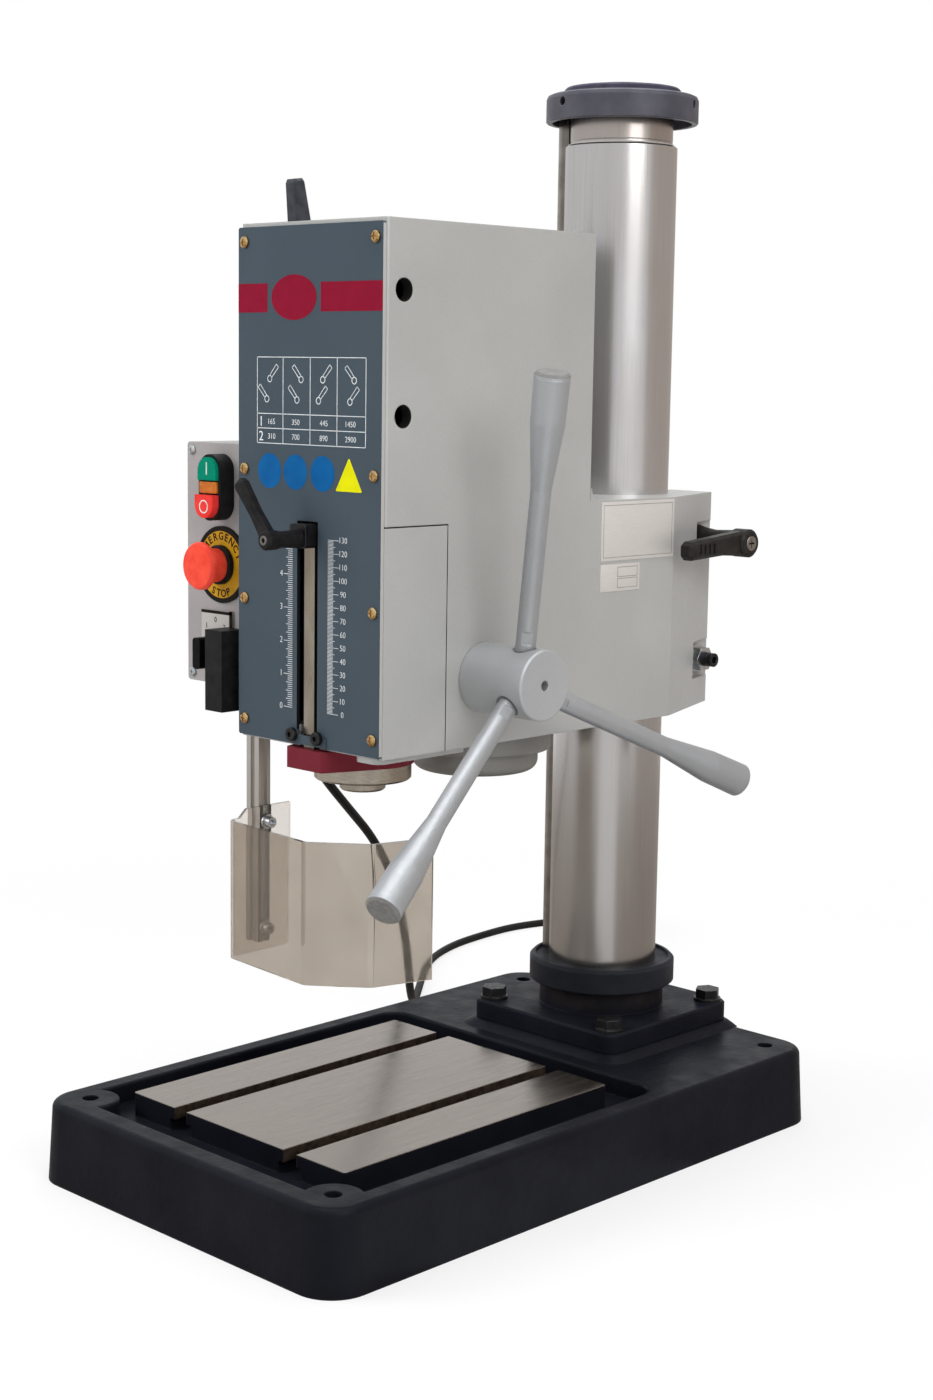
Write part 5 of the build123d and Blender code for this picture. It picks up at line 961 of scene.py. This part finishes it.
strap_place = Matrix((outward, straight_up, outward.cross(straight_up))).transposed().to_4x4()
strap_mid = coil_mid + outward * turn_r
strap_place.translation = (strap_mid.x, strap_mid.y, strap_low + strap_tall / 2)
bmesh.ops.transform(strap, matrix=strap_place, verts=strap.verts)
fit("coil_strap", strap, strap_finish, "rack")


# Studio
# A pale plain floor, one broad soft lamp from the front right, a fill from the left and one overhead.
# A curved card behind the machine and one on the floor, out of view, shade the column's reflections.
floor_shape = bmesh.new()
bmesh.ops.create_grid(floor_shape, x_segments=1, y_segments=1, size=12.0)
floor_finish = new_finish("floor_pale", 0.9, 0.0, 0.0)
floor_grain = grain(floor_finish, 0.4, 3)
floor_tone = two_tone(floor_finish, floor_grain, card(230, 230, 230), card(235, 235, 235))
surface(floor_finish, "Base Color", floor_tone)
floor_path = node(floor_finish, "LightPath", {}).outputs
mirrored = sums(floor_finish, "MAXIMUM", floor_path["Is Glossy Ray"], floor_path["Is Transmission Ray"])
shown = sums(floor_finish, "MAXIMUM", floor_path["Is Camera Ray"], mirrored)
floor_place = node(floor_finish, "TexCoord", {}).outputs["Object"]
far = node(floor_finish, "VectorMath", {0: floor_place}, operation="LENGTH").outputs["Value"]
white_share = both(floor_finish, shown, span(floor_finish, far, 0.35, 1.25, 0.66, 1.0))
glow = node(floor_finish, "Emission", {"Color": (1, 1, 1, 1), "Strength": 1.0})
floor_coat = floor_finish.node_tree.nodes["Principled BSDF"].outputs["BSDF"]
paled = node(floor_finish, "MixShader", {0: white_share, 1: floor_coat, 2: glow.outputs["Emission"]})
floor_out = floor_finish.node_tree.nodes["Material Output"].inputs["Surface"]
wire(floor_finish, floor_out, paled.outputs["Shader"])
floor = placed("floor", floor_shape, floor_finish)

world = bpy.data.worlds.new("studio")
bpy.context.scene.world = world
world.use_nodes = True
sky = world.node_tree.nodes["Background"]
sky_path = node(world, "LightPath", {}).outputs
sky_mirrored = sums(world, "MAXIMUM", sky_path["Is Glossy Ray"], sky_path["Is Transmission Ray"])
sky_way = node(world, "TexCoord", {}).outputs["Generated"]
sky_height = node(world, "SeparateXYZ", {"Vector": sky_way}).outputs[2]
sky_tones = ((0.02, (0.6, 0.59, 0.58, 1)), (0.28, (0.98, 0.98, 0.98, 1)), (0.7, (0.86, 0.95, 1.0, 1)))
overhead = shades(world, sky_height, *sky_tones)
wire(world, sky.inputs["Color"], mixed(world, sky_path["Is Glossy Ray"], (1, 1, 1, 1), overhead))
sky_shown = sums(world, "MAXIMUM", sky_path["Is Camera Ray"], sky_mirrored)
wire(world, sky.inputs["Strength"], span(world, sky_shown, 0.0, 1.0, 0.38, 1.0))


def soft_lamp(name, place, aim, wide, high, power):
    lamp = bpy.data.lights.new(name, "AREA")
    lamp.shape = "RECTANGLE"
    lamp.size = wide
    lamp.size_y = high
    lamp.energy = power
    stand = bpy.data.objects.new(name, lamp)
    stand.location = place
    stand.rotation_euler = (Vector(aim) - Vector(place)).to_track_quat("-Z", "Y").to_euler()
    bpy.context.scene.collection.objects.link(stand)
    return stand


soft_lamp("key_lamp", (2.5, -0.6, 1.9), (0, 0, 0.45), 1.6, 1.6, 40)
left_lamp = soft_lamp("left_lamp", (-1.7, -2.0, 1.7), (0, 0, 0.45), 1.4, 1.8, 48)
left_lamp.visible_glossy = False
soft_lamp("top_lamp", (0.0, 0.2, 2.6), (0, 0, 0.2), 2.0, 2.0, 48)
column_axis = Vector((0, 0.199, 0))
card_from, card_sweep, card_away = math.radians(14), math.radians(100), 1.8
card_shape = bmesh.new()
card_edge = column_axis + Vector((math.cos(card_from), math.sin(card_from), 0)) * card_away
edge_verts = [card_shape.verts.new(card_edge + Vector((0, 0, z))) for z in (-0.2, 2.6)]
edge_line = card_shape.edges.new(edge_verts)
bmesh.ops.spin(card_shape, geom=edge_verts + [edge_line], cent=column_axis, axis=(0, 0, 1), dvec=(0, 0, 0),
               angle=card_sweep, steps=24)
ground_shape = bmesh.new()
ground_from, ground_sweep = math.radians(-25), math.radians(320)
ground_way = Vector((math.cos(ground_from), math.sin(ground_from), 0))
ground_mid = column_axis + Vector((0, 0, 0.001))
foot_verts = [ground_shape.verts.new(ground_mid + ground_way * run) for run in (0.1, 1.7)]
foot_line = ground_shape.edges.new(foot_verts)
bmesh.ops.spin(ground_shape, geom=foot_verts + [foot_line], cent=column_axis, axis=(0, 0, 1), dvec=(0, 0, 0),
               angle=ground_sweep, steps=44)
for name, shape, glow_tone in (("dark_card", card_shape, card(188, 178, 170)),
                               ("ground_card", ground_shape, card(176, 168, 160))):
    card_finish = new_finish(name, 0.9, 0.0, 0.0)
    surface(card_finish, "Base Color", card(10, 10, 10))
    surface(card_finish, "Emission Color", glow_tone)
    surface(card_finish, "Emission Strength", 1.0)
    reflector = placed(name, shape, card_finish)
    reflector.visible_camera = False
    reflector.visible_diffuse = False
    reflector.visible_shadow = False
    reflector.visible_transmission = False


# Camera
# Eye level a little above the middle of the machine, seen from the front right.
# The lens covers the long side of the frame.
eye = bpy.data.cameras.new("camera")
eye.sensor_width = 36.0
eye.lens = 36.0 * 2197.15 / 1400
camera = bpy.data.objects.new("camera", eye)
bpy.context.scene.collection.objects.link(camera)
bearing = math.radians(44.06)
pitch = math.radians(8.5)
ahead = Vector((-math.sin(bearing) * math.cos(pitch), math.cos(bearing) * math.cos(pitch), -math.sin(pitch)))
right_hand = ahead.cross(Vector((0, 0, 1))).normalized()
upward = right_hand.cross(ahead)
tilt = math.radians(0.85)
rolled_right = right_hand * math.cos(tilt) + upward * math.sin(tilt)
rolled_up = upward * math.cos(tilt) - right_hand * math.sin(tilt)
view = Matrix((rolled_right, rolled_up, -ahead)).transposed().to_4x4()
view.translation = (1.22917, -1.24857, 0.63589)
camera.matrix_world = view
bpy.context.scene.camera = camera
bpy.context.scene.view_settings.view_transform = "Standard"
